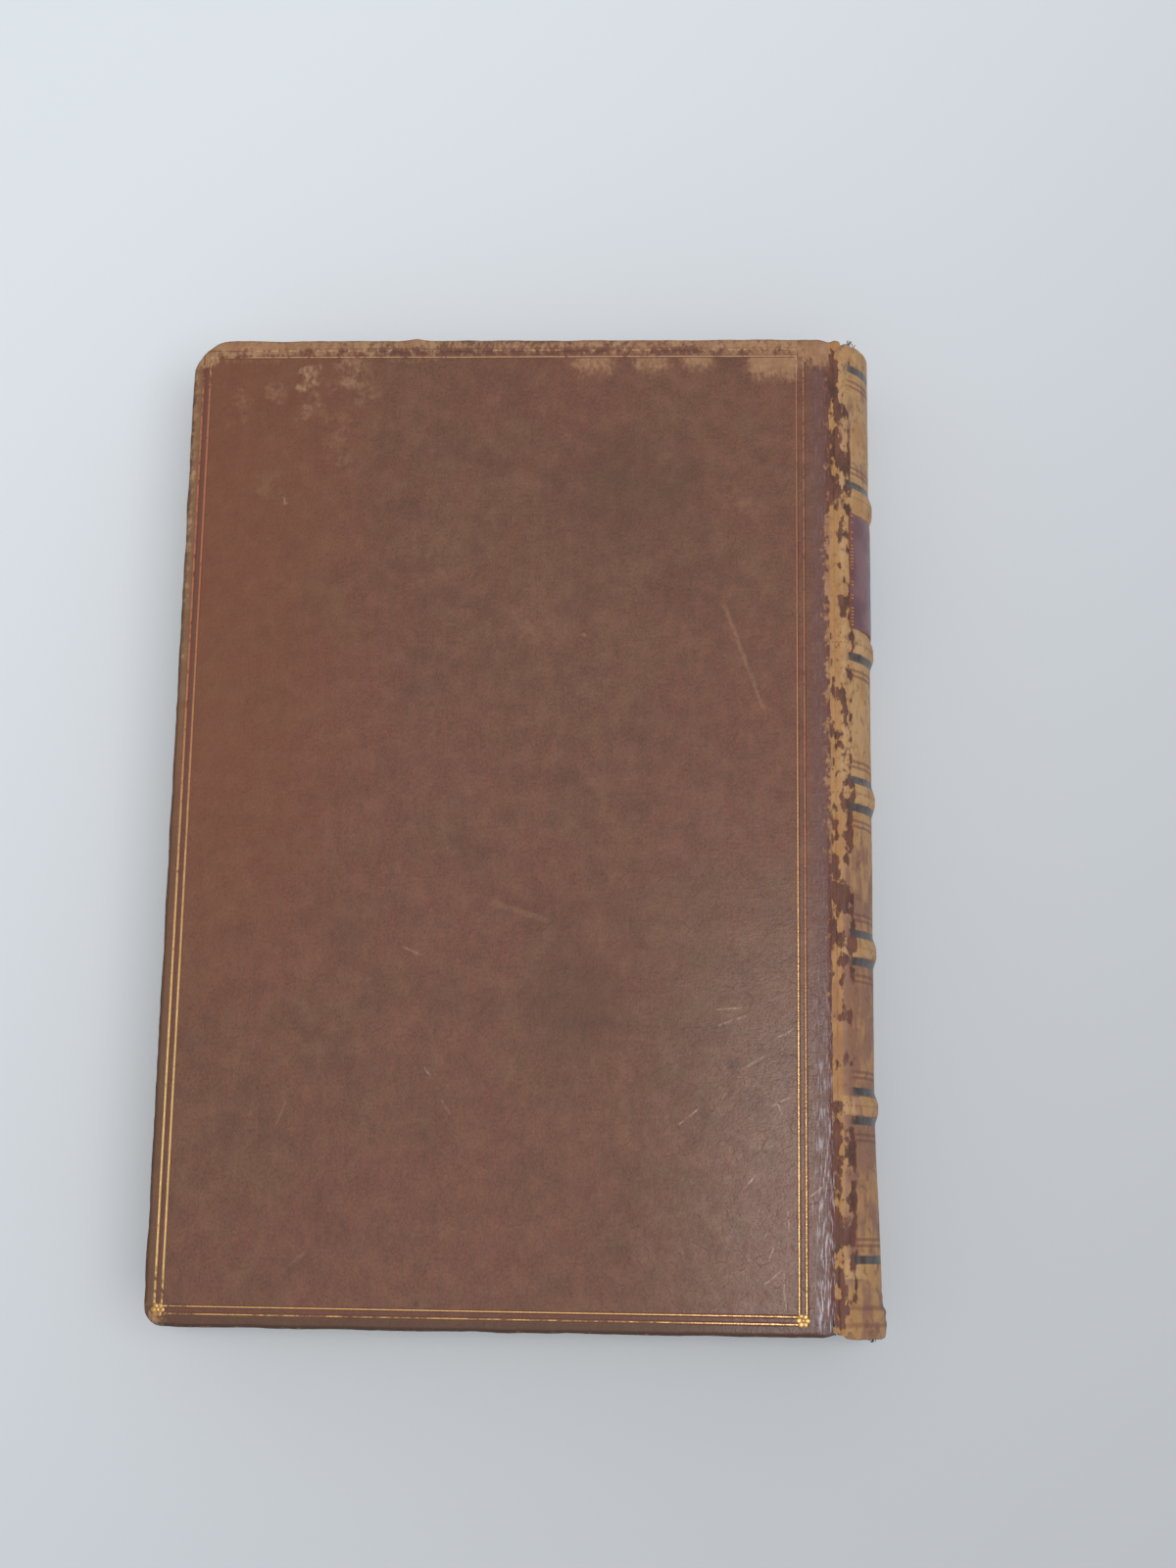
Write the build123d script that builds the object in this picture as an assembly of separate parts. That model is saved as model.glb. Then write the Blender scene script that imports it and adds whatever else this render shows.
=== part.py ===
from build123d import *
import os
from math import asin, degrees, sqrt

# Antique full-leather book, closed and lying on its front cover with the rear cover up.
# X runs from the fore edge to the spine, Y from tail to head, and Z up through the thickness.
# The origin is the centre of the book's footprint, on the surface that it lies on.
# The book is mirror-alike about its mid-thickness plane: a cover is drawn once as the upper one,
# and mirrored to make the lower one. Every layer of the back is an inset of one spine section.

# Boards and covers
BOARD_HEIGHT = 226.0  # head to tail, over the leather
BOARD_WIDTH = 149.0  # fore edge to hinge line, over the leather
BOOK_THICKNESS = 29.0  # overall, covers closed
LEATHER = 0.8  # covering calf
BOARD_CORE = 2.2  # millboard
TURN_IN = 0.5  # pared leather folded over the board's inner face
TURN_IN_WIDTH = 14.0
PASTEDOWN = 0.25
PASTEDOWN_MARGIN = 4.0  # leather left showing round the pastedown
PAPER_CLEARANCE = 0.2  # round a filler, and between a pastedown and the first leaf
HINGE_CLEARANCE = 0.3  # board edge to hinge line
BOARD_EDGE_ROUND = 1.1  # leather drawn over the board's outer edges
WORN_HEAD_CORNER = 8.0  # rear cover's bumped corner
WORN_TAIL_CORNER = 4.5
PLAIN_CORNER = 3.0  # front cover's corners

# Blind impression of the double rule round each cover
RULE_WIDTH = 0.7
RULE_GAP = 0.9  # between the two rules
RULE_DEPTH = 0.2
RULE_INSET_FORE = 2.2  # board edge to outer rule
RULE_INSET_HINGE = 5.9
RULE_INSET_ENDS = 2.5
ROSETTE_RADIUS = 1.5

# Leaves
SQUARE = 3.0  # how far the boards stand out past the leaves
FORE_EDGE_HOLLOW = 3.5

# Back of the book
SHOULDER_WIDTH = 2.8  # hinge line to the ridge where the back starts to turn down
SHOULDER_DROP = 0.4  # shoulder below the board's outer face
SPINE_BULGE = 6.8  # ridge to the furthest point of the panels
RIDGE_ROUND = 0.7  # leaves' own ridge, under the lining and the leather
LINING = 0.5
HEADCAP_RISE = 1.5  # headcap above the ends of the joint leather, and the round of its turn
HEADCAP_DEPTH = 3.6  # leather turned in over the headband
HEADBAND_WIDTH = 2.0
HEADBAND_BEVEL = 0.6
HEADBAND_CLEARANCE = 0.3  # headband to the leather behind it and over it

# Raised bands and title label
BAND_COUNT = 5
BAND_PITCH = 34.6
BAND_OFFSET = 5.4  # middle of the row above mid-height
CORD_HEIGHT = 1.1
CORD_TOP = 2.4
CORD_FOOT = 4.6
BAND_ROUND = 0.5  # leather over the top corners of a band
BAND_END_SETBACK = 0.6  # ridge's round to the end of a band
LABEL = 0.3
LABEL_CLEARANCE = 0.3  # label to the feet of its two bands

# Derived places
MID = BOOK_THICKNESS / 2
COVER = LEATHER + BOARD_CORE + TURN_IN
BLOCK_HALF = MID - COVER - PASTEDOWN - PAPER_CLEARANCE
LEAF_HEIGHT = BOARD_HEIGHT - 2 * SQUARE
SHOULDER_HALF = MID - SHOULDER_DROP
SPINE_RADIUS = (SHOULDER_HALF**2 + SPINE_BULGE**2) / (2 * SPINE_BULGE)
BOOK_WIDTH = BOARD_WIDTH + SHOULDER_WIDTH + SPINE_BULGE + CORD_HEIGHT
FORE_EDGE = -BOOK_WIDTH / 2
HINGE = FORE_EDGE + BOARD_WIDTH
ARC_CENTRE = HINGE + SHOULDER_WIDTH + SPINE_BULGE - SPINE_RADIUS
SPINE_AXIS = Axis((ARC_CENTRE, 0, MID), (0, 1, 0))
SECTION_PLANE = Plane((0, 0, MID), x_dir=(1, 0, 0), z_dir=(0, -1, 0))
BACKING = LEATHER + LINING
LEATHER_RIDGE = RIDGE_ROUND + BACKING
BAND_FOOT = CORD_FOOT + 2 * LEATHER
# Half angle of the plain arc, up to where the ridge's round begins
ARC_HALF = degrees(asin((SHOULDER_HALF - LEATHER_RIDGE) / (SPINE_RADIUS - LEATHER_RIDGE)))
BAND_HALF = ARC_HALF - degrees(BAND_END_SETBACK / SPINE_RADIUS)
BAND_PLACES = [BAND_OFFSET + BAND_PITCH * ((BAND_COUNT - 1) / 2 - n) for n in range(BAND_COUNT)]


def plate(left, right, bottom, top, low, thickness, corners=(0, 0)):
    """A flat layer. corners are the radii at its head and tail corners on the fore edge."""
    outline = make_face(Polyline((left, bottom), (right, bottom), (right, top), (left, top), close=True))
    for radius, end in zip(corners, (top, bottom)):
        if radius > 0:
            here = outline.vertices().sort_by_distance((left, end))[0]
            outline = fillet(here, radius)
    return extrude(Plane.XY.offset(low) * outline, amount=thickness)


def cover_plate(inset, hinge_inset, low, thickness, corners=(0, 0)):
    """A layer of a cover, inset from the leather's head, tail and fore edges."""
    half = BOARD_HEIGHT / 2 - inset
    inner = [max(radius - inset, 0) for radius in corners]
    return plate(FORE_EDGE + inset, HINGE - hinge_inset, -half, half, low, thickness, inner)


def rule_frame(step):
    """One rule of the double frame, as the shallow slot that the tool presses."""
    left = FORE_EDGE + RULE_INSET_FORE + step
    right = HINGE - RULE_INSET_HINGE - step
    half = BOARD_HEIGHT / 2 - RULE_INSET_ENDS - step
    low = BOOK_THICKNESS - RULE_DEPTH
    outer = plate(left, right, -half, half, low, RULE_DEPTH)
    inside = half - RULE_WIDTH
    panel = plate(left + RULE_WIDTH, right - RULE_WIDTH, -inside, inside, low, RULE_DEPTH)
    return outer - panel


def tooling():
    """The double rule and the round stamp over each of its corners."""
    rules = rule_frame(0) + rule_frame(RULE_WIDTH + RULE_GAP)
    middle = RULE_WIDTH + RULE_GAP / 2
    left = FORE_EDGE + RULE_INSET_FORE + middle
    right = HINGE - RULE_INSET_HINGE - middle
    end = BOARD_HEIGHT / 2 - RULE_INSET_ENDS - middle
    stamp = Cylinder(ROSETTE_RADIUS, RULE_DEPTH)
    level = BOOK_THICKNESS - RULE_DEPTH / 2
    for x in (left, right):
        for y in (-end, end):
            rules += Pos(x, y, level) * stamp
    return rules


def cover_leather(corners):
    """Leather over the outer face and three edges, folded in round the inner face."""
    low = BOOK_THICKNESS - COVER
    body = cover_plate(0, 0, low, COVER, corners)
    top_edges = body.edges().group_by(Axis.Z)[-1]
    body = fillet(top_edges.filter_by(lambda edge: edge.center().X < HINGE - LEATHER), BOARD_EDGE_ROUND)
    body -= cover_plate(LEATHER, 0, low + TURN_IN, BOARD_CORE, corners)
    body -= cover_plate(TURN_IN_WIDTH, 0, low, TURN_IN)
    return body - tooling()


def cover_pieces(corners):
    """The pieces of the upper cover, from the outside in."""
    low = BOOK_THICKNESS - COVER
    filler_inset = TURN_IN_WIDTH + PAPER_CLEARANCE
    return {
        "leather": cover_leather(corners),
        "board": cover_plate(LEATHER, HINGE_CLEARANCE, low + TURN_IN, BOARD_CORE, corners),
        "filler": cover_plate(filler_inset, HINGE_CLEARANCE, low, TURN_IN),
        "pastedown": cover_plate(PASTEDOWN_MARGIN, HINGE_CLEARANCE, low - PASTEDOWN, PASTEDOWN, corners),
    }


def spine_section(inset):
    """The back's section from the hinge plane outwards, inset from the leather's outer surface."""
    radius = SPINE_RADIUS - inset
    half = SHOULDER_HALF - inset
    ridge = ARC_CENTRE + sqrt(radius**2 - half**2)
    flats = Polyline((ridge, -half), (HINGE, -half), (HINGE, half), (ridge, half))
    back = ThreePointArc((ridge, half), (ARC_CENTRE + radius, 0), (ridge, -half))
    outline = make_face([*flats.edges(), back])
    ridges = outline.vertices().filter_by(lambda corner: corner.X > HINGE + LEATHER)
    return fillet(ridges, LEATHER_RIDGE - inset)


def run_along(section, length):
    """A section of the back or the leaves drawn out along the book's height, about mid-height."""
    return extrude(SECTION_PLANE * section, amount=length / 2, both=True)


def turned(profile, half_angle):
    """A profile of the XY plane turned about the back's axis, as far each way from mid-thickness."""
    swept = revolve(Pos(0, 0, MID) * profile, SPINE_AXIS, 2 * half_angle)
    return swept.rotate(SPINE_AXIS, -half_angle)


def band_profile(place, foot, top, low):
    """A raised band across its run: wide at the foot, narrower at the top."""
    base = ARC_CENTRE + low
    peak = base + CORD_HEIGHT
    rise = [(base, place - foot / 2), (peak, place - top / 2)]
    fall = [(peak, place + top / 2), (base, place + foot / 2)]
    return make_face(Polyline(*rise, *fall, close=True))


def band_cord(place):
    """The cord under the leather of one raised band."""
    profile = band_profile(place, CORD_FOOT, CORD_TOP, SPINE_RADIUS - LEATHER)
    return turned(profile, BAND_HALF - degrees(LEATHER / SPINE_RADIUS))


def band_cover(place):
    """The leather drawn over one raised band, down into the leather of the back."""
    profile = band_profile(place, BAND_FOOT, CORD_TOP + 2 * LEATHER, SPINE_RADIUS)
    profile = fillet(profile.vertices().group_by(Axis.X)[-1], BAND_ROUND)
    root = Pos(ARC_CENTRE + SPINE_RADIUS - LEATHER / 2, place) * Rectangle(LEATHER, BAND_FOOT)
    return turned(profile + root, BAND_HALF)


def headcap(end):
    """Leather turned over the headband at one end of the back, towards the leaves."""
    outer = ARC_CENTRE + SPINE_RADIUS
    tip = BOARD_HEIGHT / 2
    foot = tip - HEADCAP_RISE
    bend = outer - HEADCAP_RISE
    lip = outer - HEADCAP_DEPTH
    turn = CenterArc((bend, foot), HEADCAP_RISE, 0, 90)
    flap = Polyline((bend, tip), (lip, tip), (lip, tip - LEATHER), (bend, tip - LEATHER))
    under = CenterArc((bend, foot), HEADCAP_RISE - LEATHER, 0, 90)
    seam = Line((outer - LEATHER, foot), (outer, foot))
    cap = turned(make_face([turn, *flap.edges(), under, seam]), BAND_HALF)
    return cap if end > 0 else mirror(cap, about=Plane.XZ)


def spine_leather():
    """Leather over the back and both shoulders, moulded over the bands, with a cap at each end."""
    skin = spine_section(0) - spine_section(LEATHER)
    body = run_along(skin, BOARD_HEIGHT - 2 * HEADCAP_RISE)
    body += [band_cover(place) for place in BAND_PLACES]
    body += [headcap(end) for end in (1, -1)]
    return body - [band_cord(place) for place in BAND_PLACES]


def spine_lining():
    """Cloth and paper lining between the leaves and the leather."""
    return run_along(spine_section(LEATHER) - spine_section(BACKING), LEAF_HEIGHT)


def text_block():
    """All the leaves: a hollow fore edge, a rounded back, and shoulders that the boards sit against."""
    fore = FORE_EDGE + SQUARE
    flats = Polyline((fore, BLOCK_HALF), (HINGE, BLOCK_HALF), (HINGE, -BLOCK_HALF), (fore, -BLOCK_HALF))
    hollow = ThreePointArc((fore, -BLOCK_HALF), (fore + FORE_EDGE_HOLLOW, 0), (fore, BLOCK_HALF))
    leaves = make_face([*flats.edges(), hollow])
    return run_along(leaves + spine_section(BACKING), LEAF_HEIGHT)


def headband(end):
    """Silk-wound cord sewn along the back edge of the leaves at one end, under the headcap."""
    height = SQUARE - LEATHER - HEADBAND_CLEARANCE
    radial = ARC_CENTRE + SPINE_RADIUS - LEATHER - HEADBAND_CLEARANCE - HEADBAND_WIDTH / 2
    outline = Pos(radial, (LEAF_HEIGHT + height) / 2) * Rectangle(HEADBAND_WIDTH, height)
    cord = turned(chamfer(outline.vertices().group_by(Axis.Y)[-1], HEADBAND_BEVEL), BAND_HALF)
    return cord if end > 0 else mirror(cord, about=Plane.XZ)


def title_label():
    """Thin leather label between the first two bands, wrapped round the back from ridge to ridge."""
    upper = BAND_PLACES[0] - BAND_FOOT / 2 - LABEL_CLEARANCE
    lower = BAND_PLACES[1] + BAND_FOOT / 2 + LABEL_CLEARANCE
    middle = (upper + lower) / 2
    profile = Pos(ARC_CENTRE + SPINE_RADIUS + LABEL / 2, middle) * Rectangle(LABEL, upper - lower)
    return turned(profile, BAND_HALF)


def all_pieces():
    """Every piece of the book, by name."""
    pieces = {
        "text_block": text_block(),
        "spine_lining": spine_lining(),
        "spine_leather": spine_leather(),
        "title_label": title_label(),
        "headband_head": headband(1),
        "headband_tail": headband(-1),
    }
    for number, place in enumerate(BAND_PLACES, start=1):
        pieces[f"band_cord_{number}"] = band_cord(place)
    for name, piece in cover_pieces((WORN_HEAD_CORNER, WORN_TAIL_CORNER)).items():
        pieces[f"rear_{name}"] = piece
    for name, piece in cover_pieces((PLAIN_CORNER, PLAIN_CORNER)).items():
        pieces[f"front_{name}"] = mirror(piece, about=Plane.XY.offset(MID))
    return pieces


os.makedirs("parts", exist_ok=True)
for piece_name, solid in all_pieces().items():
    export_step(solid, f"parts/{piece_name}.step")
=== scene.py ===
# %% [markdown]
# # An antique leather book
# A calf-bound book lies closed on its front cover, so we look down on the rear cover and along
# the spine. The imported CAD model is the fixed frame: every size below is read from it, in the
# same place. Blender adds what long use has made of the binding: mottled calf, worn gilt rules,
# joints rubbed to the bare skin, a glossy label, silk headbands and toned paper.

# %% Load the frame
from math import acos, asin, cos, degrees, hypot, pi, radians, sin, sqrt

import bmesh
import bpy
import numpy as np
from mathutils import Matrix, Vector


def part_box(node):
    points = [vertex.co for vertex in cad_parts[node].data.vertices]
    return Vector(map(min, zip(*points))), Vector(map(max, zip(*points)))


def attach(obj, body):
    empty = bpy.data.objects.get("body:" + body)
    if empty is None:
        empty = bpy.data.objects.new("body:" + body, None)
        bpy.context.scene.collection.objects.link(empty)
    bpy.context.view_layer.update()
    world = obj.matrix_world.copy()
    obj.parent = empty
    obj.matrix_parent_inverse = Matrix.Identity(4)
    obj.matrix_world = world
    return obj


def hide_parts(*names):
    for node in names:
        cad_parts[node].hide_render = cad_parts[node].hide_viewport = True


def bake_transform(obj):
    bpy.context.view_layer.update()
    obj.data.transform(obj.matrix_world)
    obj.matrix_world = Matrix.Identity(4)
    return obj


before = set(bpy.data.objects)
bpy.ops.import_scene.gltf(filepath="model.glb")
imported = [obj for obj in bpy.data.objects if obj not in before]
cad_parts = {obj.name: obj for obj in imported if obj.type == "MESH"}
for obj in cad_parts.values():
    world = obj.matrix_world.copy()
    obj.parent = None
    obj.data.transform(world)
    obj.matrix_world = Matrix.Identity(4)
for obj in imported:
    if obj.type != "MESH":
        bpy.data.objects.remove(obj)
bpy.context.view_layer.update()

# %% [markdown]
# ## Sizes
# A binder measures in millimetres and the frame is in metres, so all shapes are worked out in
# millimetres and scaled once, when a mesh is made. X runs from the fore edge to the spine, Y from
# tail to head, Z up. Reading the boxes of the CAD nodes keeps scene and solids in step.

# %% Read the sizes
MM = 0.001


def box_mm(node):
    """The lowest and highest corner of a CAD node, in millimetres."""
    low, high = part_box(node)
    return np.array(low) / MM, np.array(high) / MM


def mid_height(node):
    """Where the middle of a CAD node lies between tail and head."""
    low, high = box_mm(node)
    return (low[1] + high[1]) / 2


(FORE, _, UNDER), (HINGE, HEAD, TOP) = box_mm("rear_leather")
(_, _, _), (BACK_MAX, _, SHOULDER) = box_mm("spine_leather")
MID = TOP / 2
BAND_PLACES = [mid_height(f"band_cord_{number}") for number in range(1, 6)]
BAND_PITCH = BAND_PLACES[0] - BAND_PLACES[1]
BAND_RISE = 1.1  # a raised band above the panels
print(f"cover {HINGE - FORE:.1f} x {2 * HEAD:.1f} mm, book {TOP:.1f} mm thick, "
      f"bands {BAND_PITCH:.1f} mm apart")

# %% [markdown]
# ## Camera
# The viewpoint is found by laying the cover's four corners over the corners of the photograph's
# book: almost straight down from half a metre, leaning a little towards the head. With a vertical
# sensor fit, the lens holds the frame's height whatever the picture's width.

# %% Set the camera
lens = bpy.data.cameras.new("camera")
lens.sensor_fit = "VERTICAL"
lens.sensor_height = 36.0
lens.lens = 50.62
camera = bpy.data.objects.new("camera", lens)
camera.location = [place * MM for place in (38.17, -92.05, 512.18)]
camera.rotation_euler = [radians(angle) for angle in (11.587, 2.62, 0.896)]
bpy.context.scene.collection.objects.link(camera)
bpy.context.scene.camera = camera
print("camera stands", round(camera.location.z, 3), "m above the table")

# %% [markdown]
# ## Shader arithmetic
# A finish is mostly arithmetic on masks: where the leather is rubbed, where gold has stayed. Wired
# by hand that is hundreds of nodes, so one small class wraps a socket and lets Python's operators
# add the Math nodes. Its method make adds any other node, and geo does so by short names in the
# Geometry Nodes trees further down.

# %% A wire that can be calculated with
def pick(sockets, key):
    """A socket by number, identifier or name."""
    if isinstance(key, int):
        return sockets[key]
    return next((s for s in sockets if s.identifier == key), None) or sockets[key]


class Wire:
    """One socket of a node tree. Sums and products of wires add Math nodes."""

    def __init__(self, socket):
        self.socket = socket

    def make(self, kind, settings=None, feeds=None, out=0):
        """Adds a node: settings first, then the value or wire of each socket. Returns an output."""
        tree = self.socket.id_data
        node = tree.nodes.new(kind)
        for name, value in (settings or {}).items():
            if name == "stops":
                ramp = node.color_ramp.elements
                while len(ramp) < len(value):
                    ramp.new(1.0)
                for stop, (place, level) in zip(ramp, value):
                    stop.position = place
                    stop.color = (level, level, level, 1.0)
            else:
                setattr(node, name, value)
        for key, value in (feeds or {}).items():
            into = pick(node.inputs, key)
            wires = value if isinstance(value, list) else [value]
            wires = [wire for wire in wires if isinstance(wire, Wire)]
            for wire in wires:
                tree.links.new(wire.socket, into)
            if not wires:
                into.default_value = value
        return Wire(pick(node.outputs, out))

    def geo(self, kind, out=0, settings=None, **feeds):
        """Adds a Geometry node. An underscore in the name of a socket stands for a space."""
        feeds = {label.replace("_", " "): value for label, value in feeds.items()}
        return self.make("GeometryNode" + kind, settings, feeds, out)

    def math(self, operation, *others):
        return self.make("ShaderNodeMath", {"operation": operation}, dict(enumerate((self, *others))))

    def combine(self, operation, *others, out="Vector"):
        """Vector arithmetic with other wires or fixed vectors."""
        feeds = dict(enumerate((self, *others)))
        return self.make("ShaderNodeVectorMath", {"operation": operation}, feeds, out)

    def vector(self, **parts):
        """A vector with the given X, Y and Z; a part that is left out is 0."""
        return self.make("ShaderNodeCombineXYZ", {}, parts)

    def parts(self):
        """The three parts of a vector, as wires."""
        split = self.make("ShaderNodeSeparateXYZ", {}, {"Vector": self})
        return [Wire(part) for part in split.socket.node.outputs]

    def __add__(self, other):
        return self.math("ADD", other)

    __radd__ = __add__

    def __sub__(self, other):
        return self.math("SUBTRACT", other)

    def __rsub__(self, other):
        return self.make("ShaderNodeMath", {"operation": "SUBTRACT"}, {0: other, 1: self})

    def __mul__(self, other):
        return self.math("MULTIPLY", other)

    __rmul__ = __mul__

    def __truediv__(self, other):
        return self.math("DIVIDE", other)

    def __abs__(self):
        return self.math("ABSOLUTE")

    def least(self, other):
        return self.math("MINIMUM", other)

    def most(self, other):
        return self.math("MAXIMUM", other)

    def step(self, low, high):
        """0 at low and 1 at high, with a soft change between; low may be the greater."""
        limits = {"Value": self, "From Min": low, "From Max": high}
        return self.make("ShaderNodeMapRange", {"interpolation_type": "SMOOTHSTEP"}, limits)

    def mix(self, under, over):
        """A colour: under where this wire is 0, over where it is 1."""
        feeds = {"Factor_Float": self, "A_Color": under, "B_Color": over}
        return self.make("ShaderNodeMix", {"data_type": "RGBA"}, feeds, "Result_Color")

    def follow(self, stops):
        """A level that follows (place, level) stops along this wire."""
        first, last = stops[0][0], stops[-1][0]
        run = (self - first) / (last - first)
        ramp = [((place - first) / (last - first), level) for place, level in stops]
        return run.make("ShaderNodeValToRGB", {"stops": ramp}, {"Fac": run}, "Color")

    def noise(self, size, detail=2.0, stretch=(1, 1, 1), shift=0.0, roughness=0.5):
        """Cloudy noise over a position, its lumps about a size across and longer where stretched."""
        scale = [1 / (size * length) for length in stretch]
        place = self.combine("MULTIPLY_ADD", scale, (shift, shift, shift))
        feeds = {"Vector": place, "Scale": 1.0, "Detail": detail, "Roughness": roughness}
        return self.make("ShaderNodeTexNoise", {}, feeds, "Fac")


# %% Helpers for a finish
def tone(red, green, blue):
    """A colour as it is read from a screen, 0 to 255, in the linear form that shaders use."""
    return (*(((c / 255 + 0.055) / 1.055) ** 2.4 for c in (red, green, blue)), 1.0)


def new_finish(name, **fixed):
    """A material with fixed shader values, and the wire of the place on the piece in millimetres."""
    finish = bpy.data.materials.new(name)
    finish.use_nodes = True
    nodes = finish.node_tree.nodes
    shader = nodes["Principled BSDF"]
    for label, value in fixed.items():
        shader.inputs[label.replace("_", " ")].default_value = value
    spot = Wire(nodes.new("ShaderNodeTexCoord").outputs["Object"])
    place = spot.make("ShaderNodeVectorMath", {"operation": "SCALE"}, {0: spot, "Scale": 1 / MM})
    return finish, shader, place


def dress(shader, height=None, **wires):
    """Connects the varying values of a finish; height is a relief in millimetres for a Bump node."""
    tree = shader.id_data
    for label, wire in wires.items():
        tree.links.new(wire.socket, shader.inputs[label.replace("_", " ")])
    if height is not None:
        bump = height.make("ShaderNodeBump", {}, {"Height": height, "Distance": MM}, "Normal")
        tree.links.new(bump.socket, shader.inputs["Normal"])


print("shader helpers ready")

# %% [markdown]
# ## The calf
# Old calf is a polished skin: red-brown and olive in soft clouds, with faint streaks along the
# grain and dark specks. Both covers share one ground, and the spine and the joints share its grain.
# They are painted by place on the book, not by UV map, so the marks run on from one piece to the
# next.

# %% Ground of the calf
CALF_RED = tone(121, 74, 57)
CALF_OLIVE = tone(116, 77, 56)
CALF_WARM = tone(124, 70, 41)
CALF_DARK = tone(82, 53, 42)
CALF_ISLAND = tone(94, 45, 34)
BARE_SKIN = tone(164, 120, 75)
PALE_SKIN = tone(186, 148, 103)
SCUFFED = tone(160, 121, 92)


def calf_ground(place):
    """Colour of unworn calf: clouds of red-brown and olive, streaks, dark stains and specks."""
    clouds = place.noise(46, 2) * 0.6 + place.noise(13, 3, shift=5) * 0.4
    streaks = place.noise(1.3, 3, stretch=(1, 3, 1), shift=3) - 0.5
    olive = (clouds + streaks * 0.16).step(0.38, 0.62)
    colour = olive.mix(CALF_RED, CALF_OLIVE)
    stains = place.noise(15, 4, shift=11, roughness=0.72).step(0.45, 0.75) * 0.42
    colour = stains.mix(colour, CALF_DARK)
    pores = place.noise(0.5, 3, stretch=(1, 1.4, 1), shift=17, roughness=0.8)
    mottle = (pores + streaks * 0.25).step(0.34, 0.7)
    colour = (mottle * 0.7).mix(colour, CALF_DARK)
    specks = place.noise(0.9, 0, shift=23).step(0.8, 0.84) * 0.5
    return specks.mix(colour, CALF_DARK)


def calf_grain(place):
    """Relief of the skin in millimetres: fine pores over slow swellings."""
    return place.noise(0.5, 1, shift=31) * 0.075 + place.noise(1.5, 1, shift=37) * 0.11


print("calf ground ready")

# %% [markdown]
# ## Tooling and wear of a cover
# A double gilt rule frames each cover. Gold leaf holds at the bottom of the pressed line and goes
# first where hands rub, so its mask is thinned by noise, and it turns from bright gold at the tail
# to a rosy remnant at the head. Scuffs hang down from the head rule in streaks, and the edges are
# rubbed to bare skin. Each mark is a distance to a line or an edge, broken up by noise, so it
# stays crisp at any size of picture.

# %% Places of the tooling
RULE_PITCH = 1.6  # from the outer rule to the inner rule
RULE_FORE, RULE_JOINT, RULE_ENDS = 2.55, 6.25, 2.85  # outer rule's centre in from the edges
RULE_LEFT, RULE_RIGHT, RULE_HEAD = FORE + RULE_FORE, HINGE - RULE_JOINT, HEAD - RULE_ENDS
BURR_PLACE = -27.4  # where the rear cover's head edge is torn up
print(f"outer rule {RULE_RIGHT - RULE_LEFT:.1f} x {2 * RULE_HEAD:.1f} mm")


def rule_gap(x, y):
    """How far a place lies outside the outer rule; the inner rule is one pitch inside it."""
    return (RULE_LEFT - x).most(x - RULE_RIGHT).most(abs(y) - RULE_HEAD)


# %% Scuffs, rubbed edges and scratches
def strongest(levels):
    """The greatest of several levels, place by place."""
    first, *others = levels
    for other in others:
        first = first.most(other)
    return first


def scuff_level(x, y, clump, scuffs):
    """How hard the field is scuffed below the head rule, by (left, right, reach, strength)."""
    below = RULE_HEAD - RULE_PITCH - y
    wavy, frayed = x + clump * 6, below + clump * 8
    levels = []
    for left, right, reach, strength in scuffs:
        across = wavy.step(left - 1, left + 3) * wavy.step(right + 1, right - 3)
        levels.append(across * frayed.step(reach * 1.2, 0) * strength)
    return strongest(levels) * below.step(0.2, 0.6)


def near(flat, spot, reach):
    """1 at a spot, fading to 0 at its reach."""
    return flat.combine("DISTANCE", (*spot, 0), out="Value").step(reach, reach * 0.3)


def run_along(flat, heading, start):
    """How far a place lies from a start, measured along a heading."""
    return flat.combine("DOT_PRODUCT", (*heading, 0), out="Value") - np.dot(heading, start)


def edge_level(flat, x, y, clump, wear):
    """How hard the edges and corners are rubbed: most at the head and its corners."""
    along_head = x.follow([(FORE, 0.9), (-45, 0.7), (-22, 0.56), (8, 0.54), (15, 0.62), (HINGE, 0.74)])
    from_head, inner_rule = HEAD - y, RULE_ENDS + RULE_PITCH
    return strongest([
        from_head.step(RULE_ENDS - 0.1, RULE_ENDS - 0.8) * along_head * wear,
        from_head.step(inner_rule, inner_rule - 0.4) * along_head * wear * 0.72,
        (x - FORE).step(2.6, 1.2) * (y + clump * 40).step(0, 90) * 0.5 * wear,
        near(flat, (BURR_PLACE, HEAD), 3.5) * wear,
        (x - FORE).least(HEAD - abs(y)).step(0.9, 0.2) * 0.34,
        near(flat, (FORE + 1, HEAD - 1), 9.5) * wear,
        near(flat, (HINGE - 2, HEAD - 1), 11) * 0.84 * wear,
        near(flat, (FORE + 0.5, 0.5 - HEAD), 7) * 0.6,
    ])


def scratch(flat, waver, start, end, width):
    """1 along a scratch between two places of the cover, 0 beside it."""
    start, end = np.array(start), np.array(end)
    half = hypot(*(end - start)) / 2
    run_x, run_y = (end - start) / (2 * half)
    line = abs(run_along(flat, (run_y, -run_x), start) + waver).step(width, width * 0.3)
    from_middle = abs(run_along(flat, (run_x, run_y), (start + end) / 2))
    return line * from_middle.step(half + 0.4, half - 1)


def joint_rub(y):
    """How far the joint is rubbed along its height, from 0 to 1."""
    return y.follow([
        (-113, 0.45), (-100, 0.36), (-80, 0.44), (-64, 0.54), (-58, 0.75), (-38, 0.75), (-32, 0.52),
        (-26, 0.4), (-10, 0.42), (5, 0.68), (10, 0.58), (34, 0.66), (40, 0.54), (44, 0.76), (66, 0.8),
        (72, 0.42), (80, 0.34), (104, 0.34), (113, 0.66)])


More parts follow.
